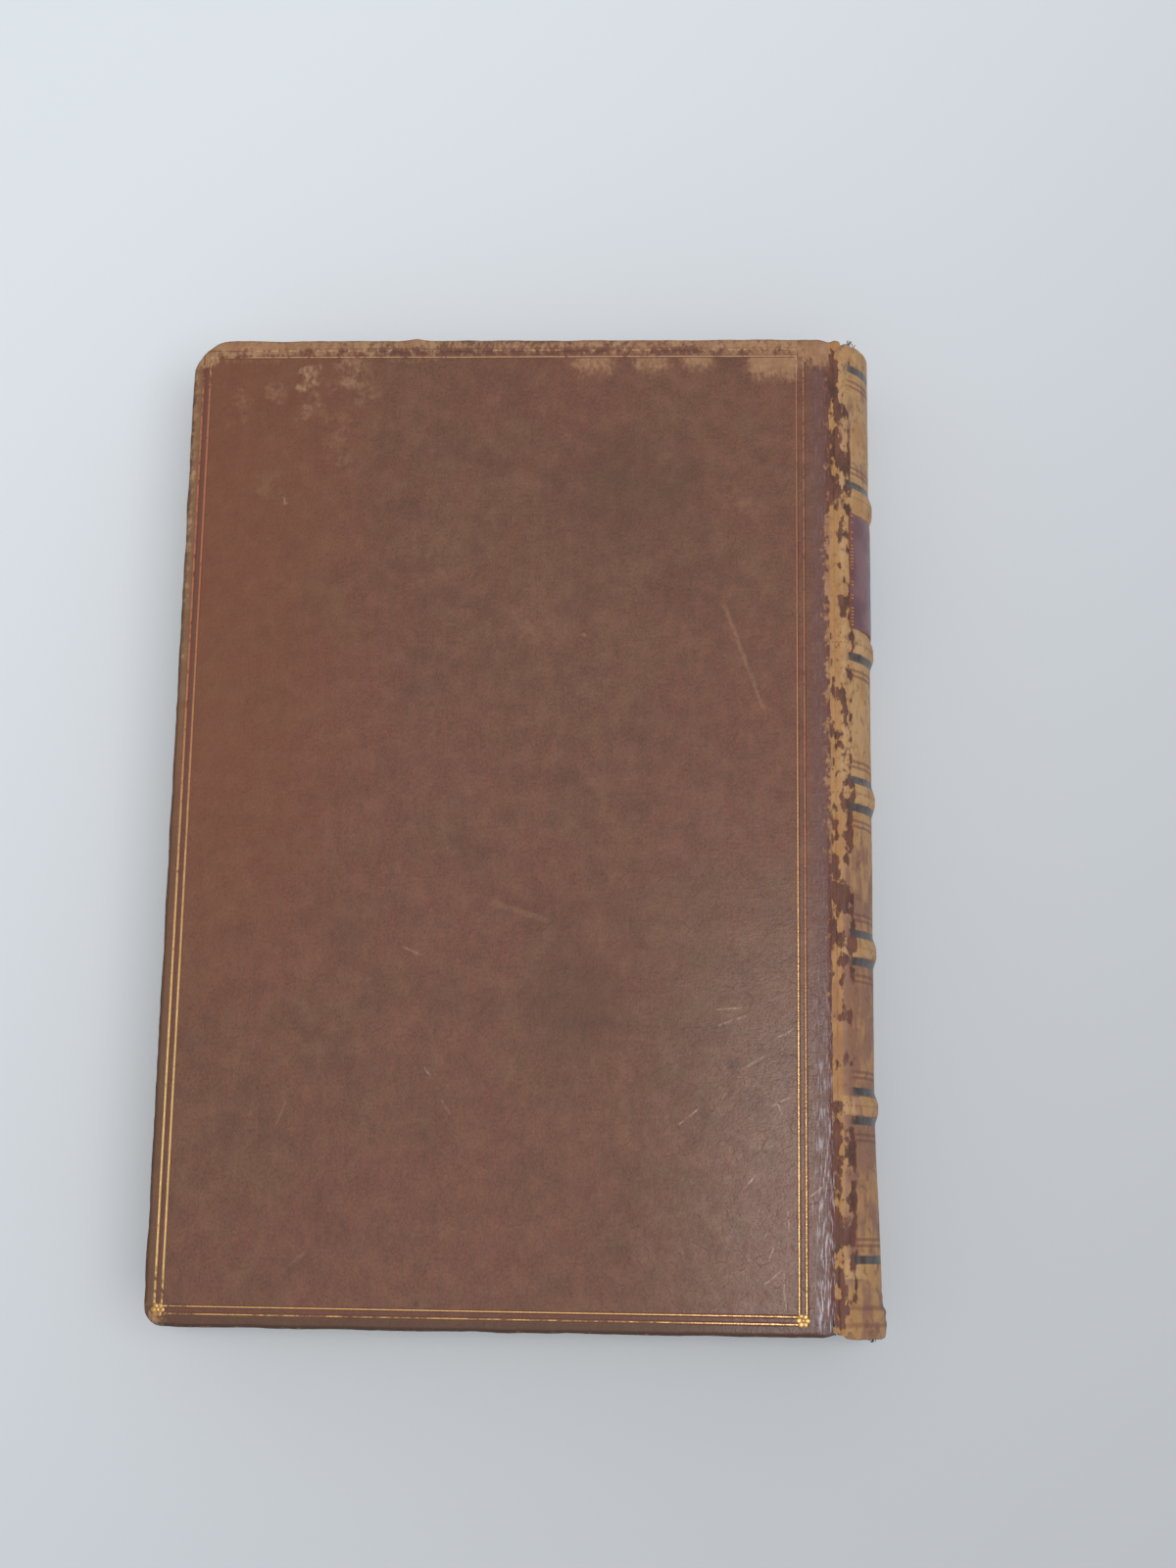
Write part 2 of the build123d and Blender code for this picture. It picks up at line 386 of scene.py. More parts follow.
# %% Gold of the rules
GILT = tone(200, 157, 94)
ROSE_GILT = tone(168, 104, 74)
PALE_GILT = tone(196, 152, 110)


def rule_gold(flat, x, y, gap, patchy, wear):
    """Mask of the gold that is left, widened on the fore side by a painted glint, mask of both pressed
    lines, brightness and colour of the gold, with a painted highlight on the fore side.
    """
    fore_side = (x - RULE_LEFT).step(3, 2.4)
    # The fore-side rules are drawn wider as a painted glint off their grooves
    slim = 1 - fore_side * 0.45
    outer = (abs(gap + patchy * 0.1) * slim).step(0.18, 0.06)
    inner = (abs(gap + RULE_PITCH) * slim).step(0.17, 0.06)
    line = outer.most(inner)
    joint_side = (x - RULE_RIGHT).step(-3, -2.4)
    kept = y.follow([(-HEAD, 1.0), (-20, 0.9), (RULE_HEAD - 1.2, 0.7), (RULE_HEAD - 0.6, 0.56),
                     (HEAD, 0.55)])
    kept = kept - near(flat, (FORE + 2, HEAD - 2), 13) * wear * 0.2 - outer * 0.15
    kept = kept - near(flat, (FORE + 3, 3 - HEAD), 14) * 0.4
    kept = kept - outer * (y + RULE_HEAD).step(3, 2.4) * x.step(-66, -56) * x.step(48, 26) * 0.36
    mask = line * (kept + patchy * 2).step(0.36, 0.7)
    bright = (y + patchy * 110 + joint_side * (outer * 75 - 20)).step(50, -60)
    at_head = (y + patchy * 20).step(RULE_HEAD - 8, RULE_HEAD - 2)
    # Painted highlight: brighter gold on the fore side
    painted_gilt_highlight = (fore_side * 0.55).mix(GILT, tone(226, 190, 126))
    return mask, line, bright, at_head.mix(bright.mix(ROSE_GILT, painted_gilt_highlight), PALE_GILT)


# %% Strips beside the rules, and scratches
PAINTED_GLINT_WIDTH = 0.28


def tooled_strips(colour, x, y, gap, clump, wear):
    """Lays the tones of the strips outside the rules and the band between them over a colour; the olive tone
    of the lower outside strip is a painted reflection.
    """
    strip = gap.step(0.2, 0.5) * (y + clump * 40).step(30, -10) * x.step(RULE_RIGHT, RULE_RIGHT - 20)
    upper_strip = gap.step(0.1, 0.6) * x.step(FORE + 4, FORE + 3) * y.step(-10, 40) * wear
    tail_strip = gap.step(0.1, 0.7) * y.step(3 - RULE_HEAD, 0.5 - RULE_HEAD)
    # The olive tone of the outside strip in the lower part is a painted reflection
    colour = (strip * 0.45).mix(colour, tone(104, 76, 50))
    colour = (tail_strip * 0.5).mix(colour, tone(72, 46, 36))
    colour = (upper_strip * (clump + 0.5)).mix(colour, tone(134, 106, 74))
    between = abs(gap + RULE_PITCH / 2).step(0.95, 0.6) * x.step(RULE_RIGHT - 2.4, RULE_RIGHT - 3)
    return (between * 0.5).mix(colour, tone(98, 56, 46))


def scratched(colour, flat, clump, crumb, scratches, painted_glints):
    """Lays scratches over a colour: broad ones are broken up, and fine ones are painted glints, pale threads
    of painted highlight along them.
    """
    cut = strongest([scratch(flat, clump, start, end, width) * strength
                     for start, end, width, strength in scratches])
    painted_glint = strongest([scratch(flat, clump, start, end, PAINTED_GLINT_WIDTH) for start, end in painted_glints])
    colour = (cut * (crumb * 3 + 0.7)).mix(colour, SCUFFED)
    # Fine scratches get a painted highlight: pale threads of light caught along them
    return (painted_glint * (crumb * 2.5 + 0.28)).mix(colour, tone(186, 160, 146))


# %% Finish of a cover
def cover_finish(name, wear, polish_and_painted_sheen, scuffs, smudges, scratches, painted_glints, spots):
    """Calf of one cover: its tooling, the marks that use has left on it, and painted shade, reflection,
    glints and sheen.
    """
    finish, shader, place = new_finish(name, Specular_IOR_Level=0.42)
    x, y, _ = place.parts()
    flat = x.vector(X=x, Y=y)
    clump = place.noise(3.2, 3, shift=41, roughness=0.6) - 0.5
    crumb = place.noise(0.9, 3, stretch=(1, 1.6, 1), shift=47, roughness=0.65) - 0.5
    drift = place.noise(5, 2, shift=43) - 0.5
    warm = (x + clump * 30).step(-22, -74) * (y + clump * 60).step(-75, 20)
    colour = (drift * 0.4 + clump * 0.22 + 0.04).mix(calf_ground(place), SCUFFED)
    colour = (warm * 0.5).mix(colour, CALF_WARM)
    dark = strongest([near(flat, spot, reach) * strength for *spot, reach, strength in spots])
    colour = dark.mix(colour, CALF_DARK)

    # The strip outside the rules, the dark band between them, the edge of the joint
    gap = rule_gap(x, y)
    margin = (x + clump * 2).step(RULE_RIGHT + 0.6, HINGE - 3)
    colour = tooled_strips(colour, x, y, gap, clump, wear)
    colour = (margin * 0.5).mix(colour, tone(100, 68, 68))
    from_joint = x - HINGE - y.step(-5, -80)
    upper = y.step(-50, 5)
    at_joint = (from_joint + crumb * 3 + clump * 5).step(-2.8, -0.5)
    colour = (at_joint * (0.85 - upper * 0.3)).mix(colour, CALF_ISLAND)
    # The fore and tail edges are darkened, and the notch beside the joint's tail gets a painted shade
    dark_edges_and_notch_shade = (x - FORE).least(HEAD + y).step(1.2, 0.3) * 0.75
    dark_edges_and_notch_shade = dark_edges_and_notch_shade.most(near(flat, (HINGE, 2 - HEAD), 2.6) * wear)
    colour = dark_edges_and_notch_shade.mix(colour, tone(56, 37, 32))
    # Painted sheen: pale streaks in the margin near the tail, as strong as the polish
    painted_sheen_streaks = place.noise(0.42, 2, stretch=(1, 8, 1), shift=57).step(0.47, 0.73)
    low = y.follow([(0.6 - HEAD, 0), (2.5 - HEAD, 1), (-100, 1), (-30, 0.08)])
    colour = (painted_sheen_streaks * margin * low * polish_and_painted_sheen * 0.9).mix(colour, tone(194, 186, 194))

    # Skin laid bare by scuffing and rubbing
    scuffed = scuff_level(x, y, clump, scuffs)
    bare = (scuffed + crumb * 1.1 + clump * 0.9).step(0.15, 0.95) * scuffed.step(0.02, 0.25)
    joint_level = (from_joint + clump * 4 + crumb * 1.2).step(-3.2, -0.3) * joint_rub(y)
    joint_level = joint_level * (upper * 0.45 + 0.55)
    level = edge_level(flat, x, y, clump, wear).most(joint_level)
    rubbed = (level + clump * 1.3 + crumb * 1.1).step(0.32, 0.78) * level.step(0.05, 0.2)
    worn = bare.most(rubbed)
    tan = (drift * 1.4 + crumb * 1.2 + 0.5).step(0.0, 1.0).mix(tone(156, 114, 82), tone(182, 144, 108))
    astray = x.vector(X=x + clump * 9, Y=y + drift * 16)
    smudged = strongest([near(astray, spot, reach) * strength for *spot, reach, strength in smudges])
    wisps = (crumb * 1.4 + clump * 1.2 + 0.5).step(0.2, 0.85)
    colour = (smudged * wisps * 1.5).mix(colour, SCUFFED)
    colour = (bare * 0.82).mix(colour, (crumb + 0.5).mix(SCUFFED, tan))
    colour = (rubbed * 0.76).mix(colour, tan)

    # Scratches, and over them what is left of the gold
    colour = scratched(colour, flat, clump, crumb, scratches, painted_glints)
    patchy = clump * 0.5 + crumb * 0.5
    gold, line, bright, gilt = rule_gold(flat, x, y, gap, patchy, wear)
    # The pressed rule lines are darkened as painted shade in their grooves
    colour = (line * 0.5).mix(colour, CALF_ISLAND)
    colour = gold.mix(colour, gilt)

    # Handled calf is shiny where it was polished, near the tail and the joint, and dull where rubbed
    shiny = (x + clump * 30).step(15, 62) * (y + clump * 60).step(30, -60) * polish_and_painted_sheen
    rough = 0.62 - shiny * 0.24 + crumb * 0.2 + worn * 0.2 - gold * 0.16
    creases = abs(place.noise(6, 1, shift=61) - 0.5).step(0.012, 0.002) * clump.step(-0.02, 0.12)
    crumbled = crumb * (x.step(RULE_RIGHT, HINGE - 3) * 0.18 + 0.05)
    relief = calf_grain(place) + crumbled + creases * 0.05
    dress(shader, relief, Base_Color=colour, Roughness=rough, Metallic=gold * bright * 0.3)
    return finish


# %% The two covers' finishes
# A scuff is (left, right, reach, strength), a smudge or a spot (x, y, reach, strength), a scratch
# (start, end, width, strength) and a painted glint along a fine scratch (start, end), all in millimetres on
# the cover
REAR_MARKS = dict(
    scuffs=[(8.5, 20.5, 7, 0.8), (22, 33, 7, 0.76), (34, 43, 6, 0.76), (49, 62.8, 8, 1.1),
            (-74, -58, 3, 0.4), (-36, -20, 3, 0.4)],
    smudges=[(-52.5, 104, 4, 0.85), (-51, 96.5, 3.5, 0.4), (-42, 104.5, 6, 0.5), (-38, 100, 4, 0.3),
             (-60, 99, 4, 0.3), (-68, 97, 4, 0.24), (-45, 92, 6, 0.2), (-56.7, 72.5, 1.0, 0.9),
             (-60, 78, 6, 0.12), (-44, 84, 6, 0.16), (-20, 60, 9, 0.1), (2, 44, 10, 0.1),
             (30, 84, 7, 0.1), (50, 75, 7, 0.1)],
    scratches=[((44.6, 49), (53.9, 23.9), 0.7, 0.34), ((-6.8, -20), (6.3, -24.3), 1.0, 0.24),
               ((-26.2, -30), (-21.8, -32.2), 0.4, 0.6), ((12.2, 41.6), (13.8, 41), 0.5, 0.6),
               ((-16.6, -63.6), (-14.2, -67), 0.4, 0.5), ((-50.6, -64.2), (-52.8, -70.2), 0.3, 0.3),
               ((-44.6, -96.3), (-48.8, -100), 0.4, 0.26)],
    painted_glints=[((35.2, -68.5), (39.5, -65.1)), ((63.3, -83.6), (66.9, -81)), ((44.5, -62.9), (46, -60.8)),
            ((49, -56.3), (54.3, -53.3)), ((56.4, -49.6), (60.3, -47.5)), ((43.6, -47), (50, -44.8)),
            ((43.2, -43.4), (49, -43.1)), ((49.2, -82.1), (52.2, -78.9)), ((53.4, -92.4), (54.7, -90.9)),
            ((54.7, -97.3), (56, -93.8)), ((53.7, -102), (57.8, -98.8)), ((55.4, -64.3), (59.6, -62.1)),
            ((58.9, -86.1), (59.1, -92.3)), ((58, -99.3), (58.4, -107.4)), ((56.4, -62.8), (57.9, -66.3)),
            ((-20.4, -56.6), (-19, -58.6)), ((-34.6, 109.4), (-32.6, 110.8)),
            ((-36, 110.6), (-34.6, 109.4))],
    spots=[(46.9, -55.1, 2.4, 0.6), (13, -42, 16, 0.4), (22, 76, 22, 0.3), (-20.7, -107.3, 1.0, 0.6)])
FRONT_MARKS = dict(
    scuffs=[(-30, -14, 8, 0.5), (24, 40, 6, 0.55)],
    smudges=[(-40, 60, 8, 0.25), (20, -70, 9, 0.2), (40, 30, 6, 0.25)],
    scratches=[((-20, 30), (4, 12), 0.4, 0.35), ((30, -50), (38, -72), 0.35, 0.35)],
    painted_glints=[((20, 60), (26, 66)), ((-40, -70), (-34, -66)), ((44, -20), (50, -14))],
    spots=[(-30, 20, 18, 0.35), (30, -60, 20, 0.3)])
REAR_CALF = cover_finish("calf_rear_cover", wear=1.0, polish_and_painted_sheen=1.0, **REAR_MARKS)
FRONT_CALF = cover_finish("calf_front_cover", wear=0.6, polish_and_painted_sheen=0.4, **FRONT_MARKS)
print("cover finishes have", len(REAR_CALF.node_tree.nodes), "nodes")

# %% [markdown]
# ## The spine's calf
# The back took most of the handling, so its bands and panels are rubbed to tan while islands of
# red-brown stay along the ridges. Black painted lines run along the foot of every band, with fine
# double lines beyond. The lines repeat at the band pitch, so the height is folded into one pitch
# with a wrap and one set of distances draws them all.

# %% The round of the back
SHOULDER_WIDTH = 2.8
RIDGE_ROUND = 2.0
SHOULDER_HALF = SHOULDER - MID
BULGE = BACK_MAX - BAND_RISE - HINGE - SHOULDER_WIDTH
BACK_RADIUS = (SHOULDER_HALF**2 + BULGE**2) / (2 * BULGE)
BACK_X = BACK_MAX - BAND_RISE - BACK_RADIUS  # centre of the back's arc
ARC_HALF = degrees(asin((SHOULDER_HALF - RIDGE_ROUND) / (BACK_RADIUS - RIDGE_ROUND)))
BAND_HALF = ARC_HALF - degrees(0.6 / BACK_RADIUS)
print(f"back radius {BACK_RADIUS:.2f} mm, bands span {2 * BAND_HALF:.0f} degrees")


def back_turn(x, z):
    """How far a place lies round the back from its middle line, in degrees to either side."""
    return abs((z - MID).math("ARCTAN2", x - BACK_X)) * (180 / pi)


# %% Finish of the spine
BAND_EDGE, BAND_LINE = 2.0, 2.2  # where the black line starts beside a band's middle, and its width
LINE_INNER, LINE_OUTER = 6.1, 7.4  # where the fine lines run
TAIL_LINE = -96.6


def spine_finish():
    """Calf of the back, its shoulders and the joints, with the painted lines and the rubbing."""
    finish, shader, place = new_finish("calf_spine", Specular_IOR_Level=0.5)
    x, y, z = place.parts()
    turn = back_turn(x, z)
    cloud = place.noise(6, 2, stretch=(1, 1.6, 1), shift=79) - 0.5
    clump = place.noise(1.5, 3, stretch=(1, 1.6, 1), shift=83, roughness=0.65) - 0.5
    streak = place.noise(1.3, 3, stretch=(1, 5, 1), shift=89) - 0.5
    patch = place.noise(2.6, 2, stretch=(1, 2, 1), shift=97) - 0.5
    fold = (y - BAND_PLACES[0]).math("WRAP", BAND_PITCH / 2, -BAND_PITCH / 2)

    # Worn skin is ochre on the bands and at the head end, and keeps a rosy wash in the lower panels
    colour = (cloud * 1.6 + streak * 0.8 + 0.5).step(0.1, 0.9).mix(BARE_SKIN, PALE_SKIN)
    joint = (turn + clump * 2).step(52.5, 54.5)
    washed = y.follow([(-113, 0.45), (-98, 0.5), (-66, 0.62), (-60, 0.62), (-30, 0.56), (-4, 0.44),
                       (6, 0.2), (74, 0.16), (84, 0.3), (113, 0.3)]) - joint * 0.2
    washed = washed - abs(fold).step(2.4, 1.6) * 0.3
    wash = (washed + cloud * 1.5 + streak * 0.7).step(0.3, 0.66)
    colour = (wash * 0.85).mix(colour, tone(126, 85, 70))
    smudge = (place.noise(2.0, 4, shift=101, roughness=0.6) + clump * 0.5).step(0.5, 0.74) * 0.65
    colour = smudge.mix(colour, tone(106, 76, 58))

    # Islands of the old red-brown surface are left along the ridge and in the joint
    ridge = turn.step(41, 45) * turn.step(57, 53)
    at_ridge = ridge * y.follow([
        (-113, 0.2), (-102, 0.46), (-96, 0.56), (-70, 0.56), (-64, 0.4), (-40, 0.44), (-26, 0.6),
        (-4, 0.6), (5, 0.4), (24, 0.54), (40, 0.42), (74, 0.46), (84, 0.54), (113, 0.3)])
    left = at_ridge.most(joint * (1 - joint_rub(y)))
    islands = (left + patch * 1.5 + clump * 0.8).step(0.44, 0.58) * left.step(0.05, 0.15)
    colour = (joint * 0.6).mix(colour, tone(166, 116, 65))
    old_skin = (streak * 2 + clump + 0.5).step(0.1, 0.9).mix(tone(62, 31, 26), tone(102, 55, 44))
    colour = (islands * 0.92).mix(colour, old_skin)

    # Painted lines at the bands lie over the skin, and are scraped themselves
    below = y.step(TAIL_LINE + 14, TAIL_LINE + 13)
    away = abs(fold) * (1 - below) + abs(y - TAIL_LINE + BAND_EDGE + 1) * below
    away = away + clump * 0.35
    upper, lower = BAND_PLACES[0], BAND_PLACES[1]
    panels = 1 - y.step(lower, lower + 1) * y.step(upper, upper - 1)
    panels = panels * y.step(TAIL_LINE - 2, TAIL_LINE - 1) * y.step(108.5, 107.5)
    panels = panels * (turn + clump * 12).step(52, 43)
    far_side = BAND_EDGE + BAND_LINE
    black = away.step(BAND_EDGE, BAND_EDGE + 0.4) * away.step(far_side, far_side - 0.4) * panels
    fine = strongest([abs(away - line).step(0.45, 0.2) for line in (LINE_INNER, LINE_OUTER)]) * panels
    scraped = (clump * 0.9 + streak * 1.2 + 0.5).step(0.06, 0.3)
    tail_bars = strongest([abs(y + clump * 1.2 - bar).step(0.8, 0.2) for bar in (-106.6, -110.2)])
    colour = (fine.most(tail_bars * 0.8) * scraped * 0.6).mix(colour, tone(104, 62, 52))
    paint = (streak * 1.6 + patch + 0.5).step(0.1, 0.9).mix(tone(40, 34, 36), tone(78, 73, 75))
    colour = (black * scraped * 0.94).mix(colour, paint)
    dashes = abs(fold).step(0.32, 0.14) * turn.math("PINGPONG", 1.3).step(0.5, 0.75) * y.step(-76, -74)
    colour = (dashes * y.step(90, 88) * scraped * 0.5).mix(colour, tone(112, 70, 44))
    rough = 0.6 + clump * 0.4 - black * 0.24 + joint * 0.05
    relief = calf_grain(place) + clump * (0.1 + joint * 0.25) + islands * 0.08
    dress(shader, relief, Base_Color=colour, Roughness=rough)
    return finish


SPINE_CALF = spine_finish()
print("spine finish has", len(SPINE_CALF.node_tree.nodes), "nodes")

# %% [markdown]
# ## Label, paper, boards and silk
# The smaller materials follow the same plan: a ground, a soft variation, wear at the edges and a
# little relief. The label is thin polished skin, dyed maroon. Paper tones to brown where leather
# or air reaches it, so the leaves darken towards their edges. The leaf edges read an attribute
# that counts the leaves, because their fine lines must follow the rounded block.

# %% Finish of the title label
def label_finish():
    """Maroon skin, rubbed to brown along its cut edges."""
    finish, shader, place = new_finish("label_maroon", Specular_IOR_Level=0.55)
    x, y, z = place.parts()
    (_, low, _), (_, high, _) = box_mm("title_label")
    turn = back_turn(x, z)
    clump = place.noise(2.4, 4, shift=103) - 0.5
    cloud = place.noise(7, 3, shift=107).step(0.35, 0.65)
    colour = cloud.mix(tone(94, 54, 61), tone(116, 76, 80))
    edge = (y - low).least(high - y).least((BAND_HALF - turn) * 0.31)
    worn = (edge.step(1.6, 0.0) * 0.75 + clump * 1.6).step(0.42, 0.66)
    colour = (worn * 0.8).mix(colour, tone(128, 76, 52))
    rough = 0.34 + worn * 0.3 + clump * 0.25
    dress(shader, calf_grain(place) * 0.6 - worn * 0.05, Base_Color=colour, Roughness=rough)
    return finish


LABEL_CALF = label_finish()
print("label finish has", len(LABEL_CALF.node_tree.nodes), "nodes")


# %% Finishes of paper, boards, lining, cords and silk
def paper_finish(name, ground, toned, leaf_lines):
    """Old rag paper: foxed, brown towards its edges, with the lines of the leaves if asked."""
    finish, shader, place = new_finish(name, Specular_IOR_Level=0.25)
    x, y, _ = place.parts()
    edge = (x - FORE - 3).least(HEAD - 3 - abs(y)) + (place.noise(9, 3, shift=109) - 0.5) * 8
    colour = (edge.step(14, 0) * 0.7).mix(ground, toned)
    foxing = place.noise(3.1, 3, shift=113).step(0.66, 0.76) * 0.5
    colour = foxing.mix(colour, tone(150, 104, 62))
    fibres = place.noise(0.9, 4, shift=127)
    height = fibres * 0.04
    if leaf_lines:
        leaf = Wire(finish.node_tree.nodes.new("ShaderNodeAttribute").outputs["Fac"])
        leaf.socket.node.attribute_name = "leaf"
        lines = leaf.vector(X=leaf * 320, Y=x * 0.02, Z=y * 0.02).noise(1.0, 2)
        inside = abs(leaf - 0.5).step(0.4985, 0.495)
        colour = (lines.step(0.62, 0.3) * inside * 0.42).mix(colour, tone(134, 98, 62))
        dust = y.step(HEAD - 4, HEAD - 2.8) * 0.3
        colour = dust.mix(colour, tone(120, 96, 72))
        height = height + lines * inside * 0.12
    dress(shader, height, Base_Color=colour, Roughness=0.82 + fibres * 0.14)
    return finish


def plain_finish(name, dark, light, grain, stretch):
    """A fibrous stuff in two tones: board, lining cloth, hemp or silk."""
    finish, shader, place = new_finish(name, Specular_IOR_Level=0.3)
    fibres = place.noise(grain, 4, stretch=stretch)
    colour = fibres.step(0.3, 0.7).mix(dark, light)
    dress(shader, fibres * 0.1, Base_Color=colour, Roughness=0.75 + fibres * 0.2)
    return finish


LEAVES = paper_finish("leaves_paper", tone(220, 202, 168), tone(192, 156, 112), True)
ENDPAPER = paper_finish("endpaper_toned", tone(212, 196, 164), tone(164, 122, 80), False)
MILLBOARD = plain_finish("millboard_grey", tone(92, 80, 66), tone(128, 114, 94), 0.8, (3, 3, 0.3))
LINING_CLOTH = plain_finish("lining_cloth", tone(150, 132, 104), tone(186, 170, 140), 0.5, (1, 4, 1))
HEMP = plain_finish("hemp_cord", tone(120, 98, 66), tone(168, 146, 108), 0.4, (1, 1, 5))
LOOSE_THREAD = plain_finish("loose_thread", tone(64, 44, 36), tone(104, 76, 56), 0.3, (1, 1, 1))
SILK_RED = plain_finish("headband_red_silk", tone(96, 36, 32), tone(132, 60, 48), 0.25, (1, 1, 1))
SILK_PALE = plain_finish("headband_pale_silk", tone(170, 146, 104), tone(202, 182, 140), 0.25, (1, 1, 1))
print("finishes:", [finish.name for finish in bpy.data.materials][-12:])

# %% Finish of stamped gold
def gold_finish():
    """Gold leaf worn thin: bright leaf with copper and brown where the skin shows through."""
    finish, shader, place = new_finish("gilt_leaf", Specular_IOR_Level=0.5)
    patchy = place.noise(0.9, 4, shift=131)
    thin = patchy.step(0.5, 0.66)
    colour = (thin * 0.6 + 0.1).mix(GILT, tone(128, 78, 48))
    dress(shader, patchy * 0.08, Base_Color=colour, Roughness=0.34 + thin * 0.25,
          Metallic=0.6 - thin * 0.4)
    return finish


GOLD = gold_finish()
print("gold finish has", len(GOLD.node_tree.nodes), "nodes")

# %% [markdown]
# ## Mesh helpers
# The leathers are thin skins with a face, an edge and an underside. They are built as grids of
# points whose lines lie closest where the shape changes fastest, which keeps the meshes light.
# A sum of crossing waves gives the unevenness of hand work, the same on each run.

# %% Grids, waves and pieces
def spaced(*marks):
    """Grid lines through (place, step) marks: from each place on, lines about a step apart."""
    lines = []
    for (here, step), (there, _) in zip(marks, marks[1:]):
        lines += list(np.linspace(here, there, max(1, round((there - here) / step)), endpoint=False))
    return np.array(lines + [marks[-1][0]])


def ease(t):
    """0 below 0 and 1 above 1, with a soft change between."""
    t = np.clip(t, 0, 1)
    return t * t * (3 - 2 * t)


def ripples(seed, length, count=9):
    """An uneven field over two coordinates, about -1 to 1, its waves about a length long."""
    draw = np.random.default_rng(seed)
    heading, phase = draw.uniform(0, 2 * pi, (2, count))
    rate = 2 * pi / (length * draw.uniform(0.6, 1.7, count))
    waves = list(zip(rate * np.cos(heading), rate * np.sin(heading), phase))
    return lambda a, b: sum(np.sin(p * a + q * b + s) for p, q, s in waves) / sqrt(2 * count)


def grid_faces(rows, columns):
    """Quads of a grid of points that are numbered row by row."""
    number = np.arange(rows * columns).reshape(rows, columns)
    quads = np.stack([number[:-1, :-1], number[:-1, 1:], number[1:, 1:], number[1:, :-1]], -1)
    return quads.reshape(-1, 4).tolist()


SHARP_ANGLE = 40  # degrees from which an edge stays sharp


def make_piece(name, points, faces, finish):
    """A mesh object from points in millimetres, merged, facing outwards and smooth."""
    mesh = bpy.data.meshes.new(name)
    mesh.from_pydata((np.asarray(points) * MM).tolist(), [], faces)
    work = bmesh.new()
    work.from_mesh(mesh)
    bmesh.ops.remove_doubles(work, verts=work.verts, dist=0.002 * MM)
    bmesh.ops.recalc_face_normals(work, faces=work.faces)
    work.to_mesh(mesh)
    work.free()
    mesh.shade_smooth()
    mesh.set_sharp_from_angle(angle=radians(SHARP_ANGLE))
    mesh.materials.append(finish)
    piece = bpy.data.objects.new(name, mesh)
    bpy.context.scene.collection.objects.link(piece)
    print(f"{name}: {len(mesh.polygons)} faces")
    return piece


def shell(upper, lower):
    """Points and faces of a closed skin between two grids of points of the same size."""
    rows, columns = upper.shape[:2]
    count = rows * columns
    number = np.arange(count).reshape(rows, columns)
    rim = np.concatenate([number[0], number[1:, -1], number[-1, -2::-1], number[-2:0:-1, 0]])
    after = np.roll(rim, -1)
    walls = np.stack([rim, after, after + count, rim + count], -1).tolist()
    top = grid_faces(rows, columns)
    bottom = [[corner + count for corner in face] for face in top]
    return np.concatenate([upper.reshape(-1, 3), lower.reshape(-1, 3)]), top + bottom + walls


# %% [markdown]
# ## The covers' leather
# Calf is drawn over the board, round its three free edges and folded in by fourteen millimetres.
# A box with a bevel could stand in, but the eye catches the pressed rules, the rounded drawn edge
# and the bumped corners. So the face is one grid: it is dense along the rules, wrapped onto an arc
# at each corner, and its rim is carried down the edge and round under the board in rings.

# %% Sizes of a cover's leather
SKIN = 0.8
EDGE_ROUND = 1.1
TURN_IN, TURN_IN_WIDTH = 0.5, 14.0
RULE_DEPTH = 0.17
JOINT_DIP = 0.6  # how far the leather sinks into the joint
rounding = EDGE_ROUND * (1 - np.sin(np.linspace(pi / 2, 0, 7)))[:-1]
WIDTH = HINGE - FORE
x_lines = FORE + np.concatenate([rounding, spaced(
    (EDGE_ROUND, 0.35), (2.0, 0.15), (4.7, 0.5), (9, 1.5), (WIDTH - 9.5, 0.5), (WIDTH - 8.4, 0.15),
    (WIDTH - 5.7, 0.5), (WIDTH - 2, 0.25), (WIDTH, 0))])
end_lines = np.concatenate([rounding, spaced(
    (EDGE_ROUND, 0.35), (2.3, 0.15), (5.0, 0.5), (9, 1.5), (HEAD, 0))])
y_lines = np.concatenate([end_lines - HEAD, HEAD - end_lines[-2::-1]])
print("cover grid:", len(x_lines), "x", len(y_lines), "lines")


def rule_groove(gap):
    """Depth of the two pressed rules at a gap outwards from the outer rule."""
    press = lambda away: ease((0.42 - np.abs(away)) / 0.24)
    return RULE_DEPTH * (press(gap) + press(gap + RULE_PITCH))


# %% Round the corners of a cover
def wrap_corners(x, y, corners):
    """Wraps a grid onto an arc at both corners of the fore edge. Returns its places, how far in from
    the edge they lie, the two parts of the way outwards and the reach of the corner."""
    inset = np.minimum(x - FORE, HEAD - np.abs(y))
    fore = x - FORE < HEAD - np.abs(y)
    out_x, out_y = np.where(fore, -1.0, 0.0), np.where(fore, 0.0, np.sign(y))
    reach = np.full(x.shape, 1e3)
    for radius, end in zip(corners, (1, -1)):
        across, along = FORE + radius - x, end * y - HEAD + radius
        inside = (across > 0) & (along > 0)
        a, b = np.where(inside, across, 1), np.where(inside, along, 1)
        angle = np.where(a >= b, pi / 4 * b / a, pi / 2 - pi / 4 * a / b)
        far = np.maximum(a, b)
        x = np.where(inside, FORE + radius - far * np.cos(angle), x)
        y = np.where(inside, end * (HEAD - radius + far * np.sin(angle)), y)
        inset = np.where(inside, radius - far, inset)
        out_x = np.where(inside, -np.cos(angle), out_x)
        out_y = np.where(inside, end * np.sin(angle), out_y)
        reach = np.where(inside, radius, reach)
    return x, y, inset, out_x, out_y, reach


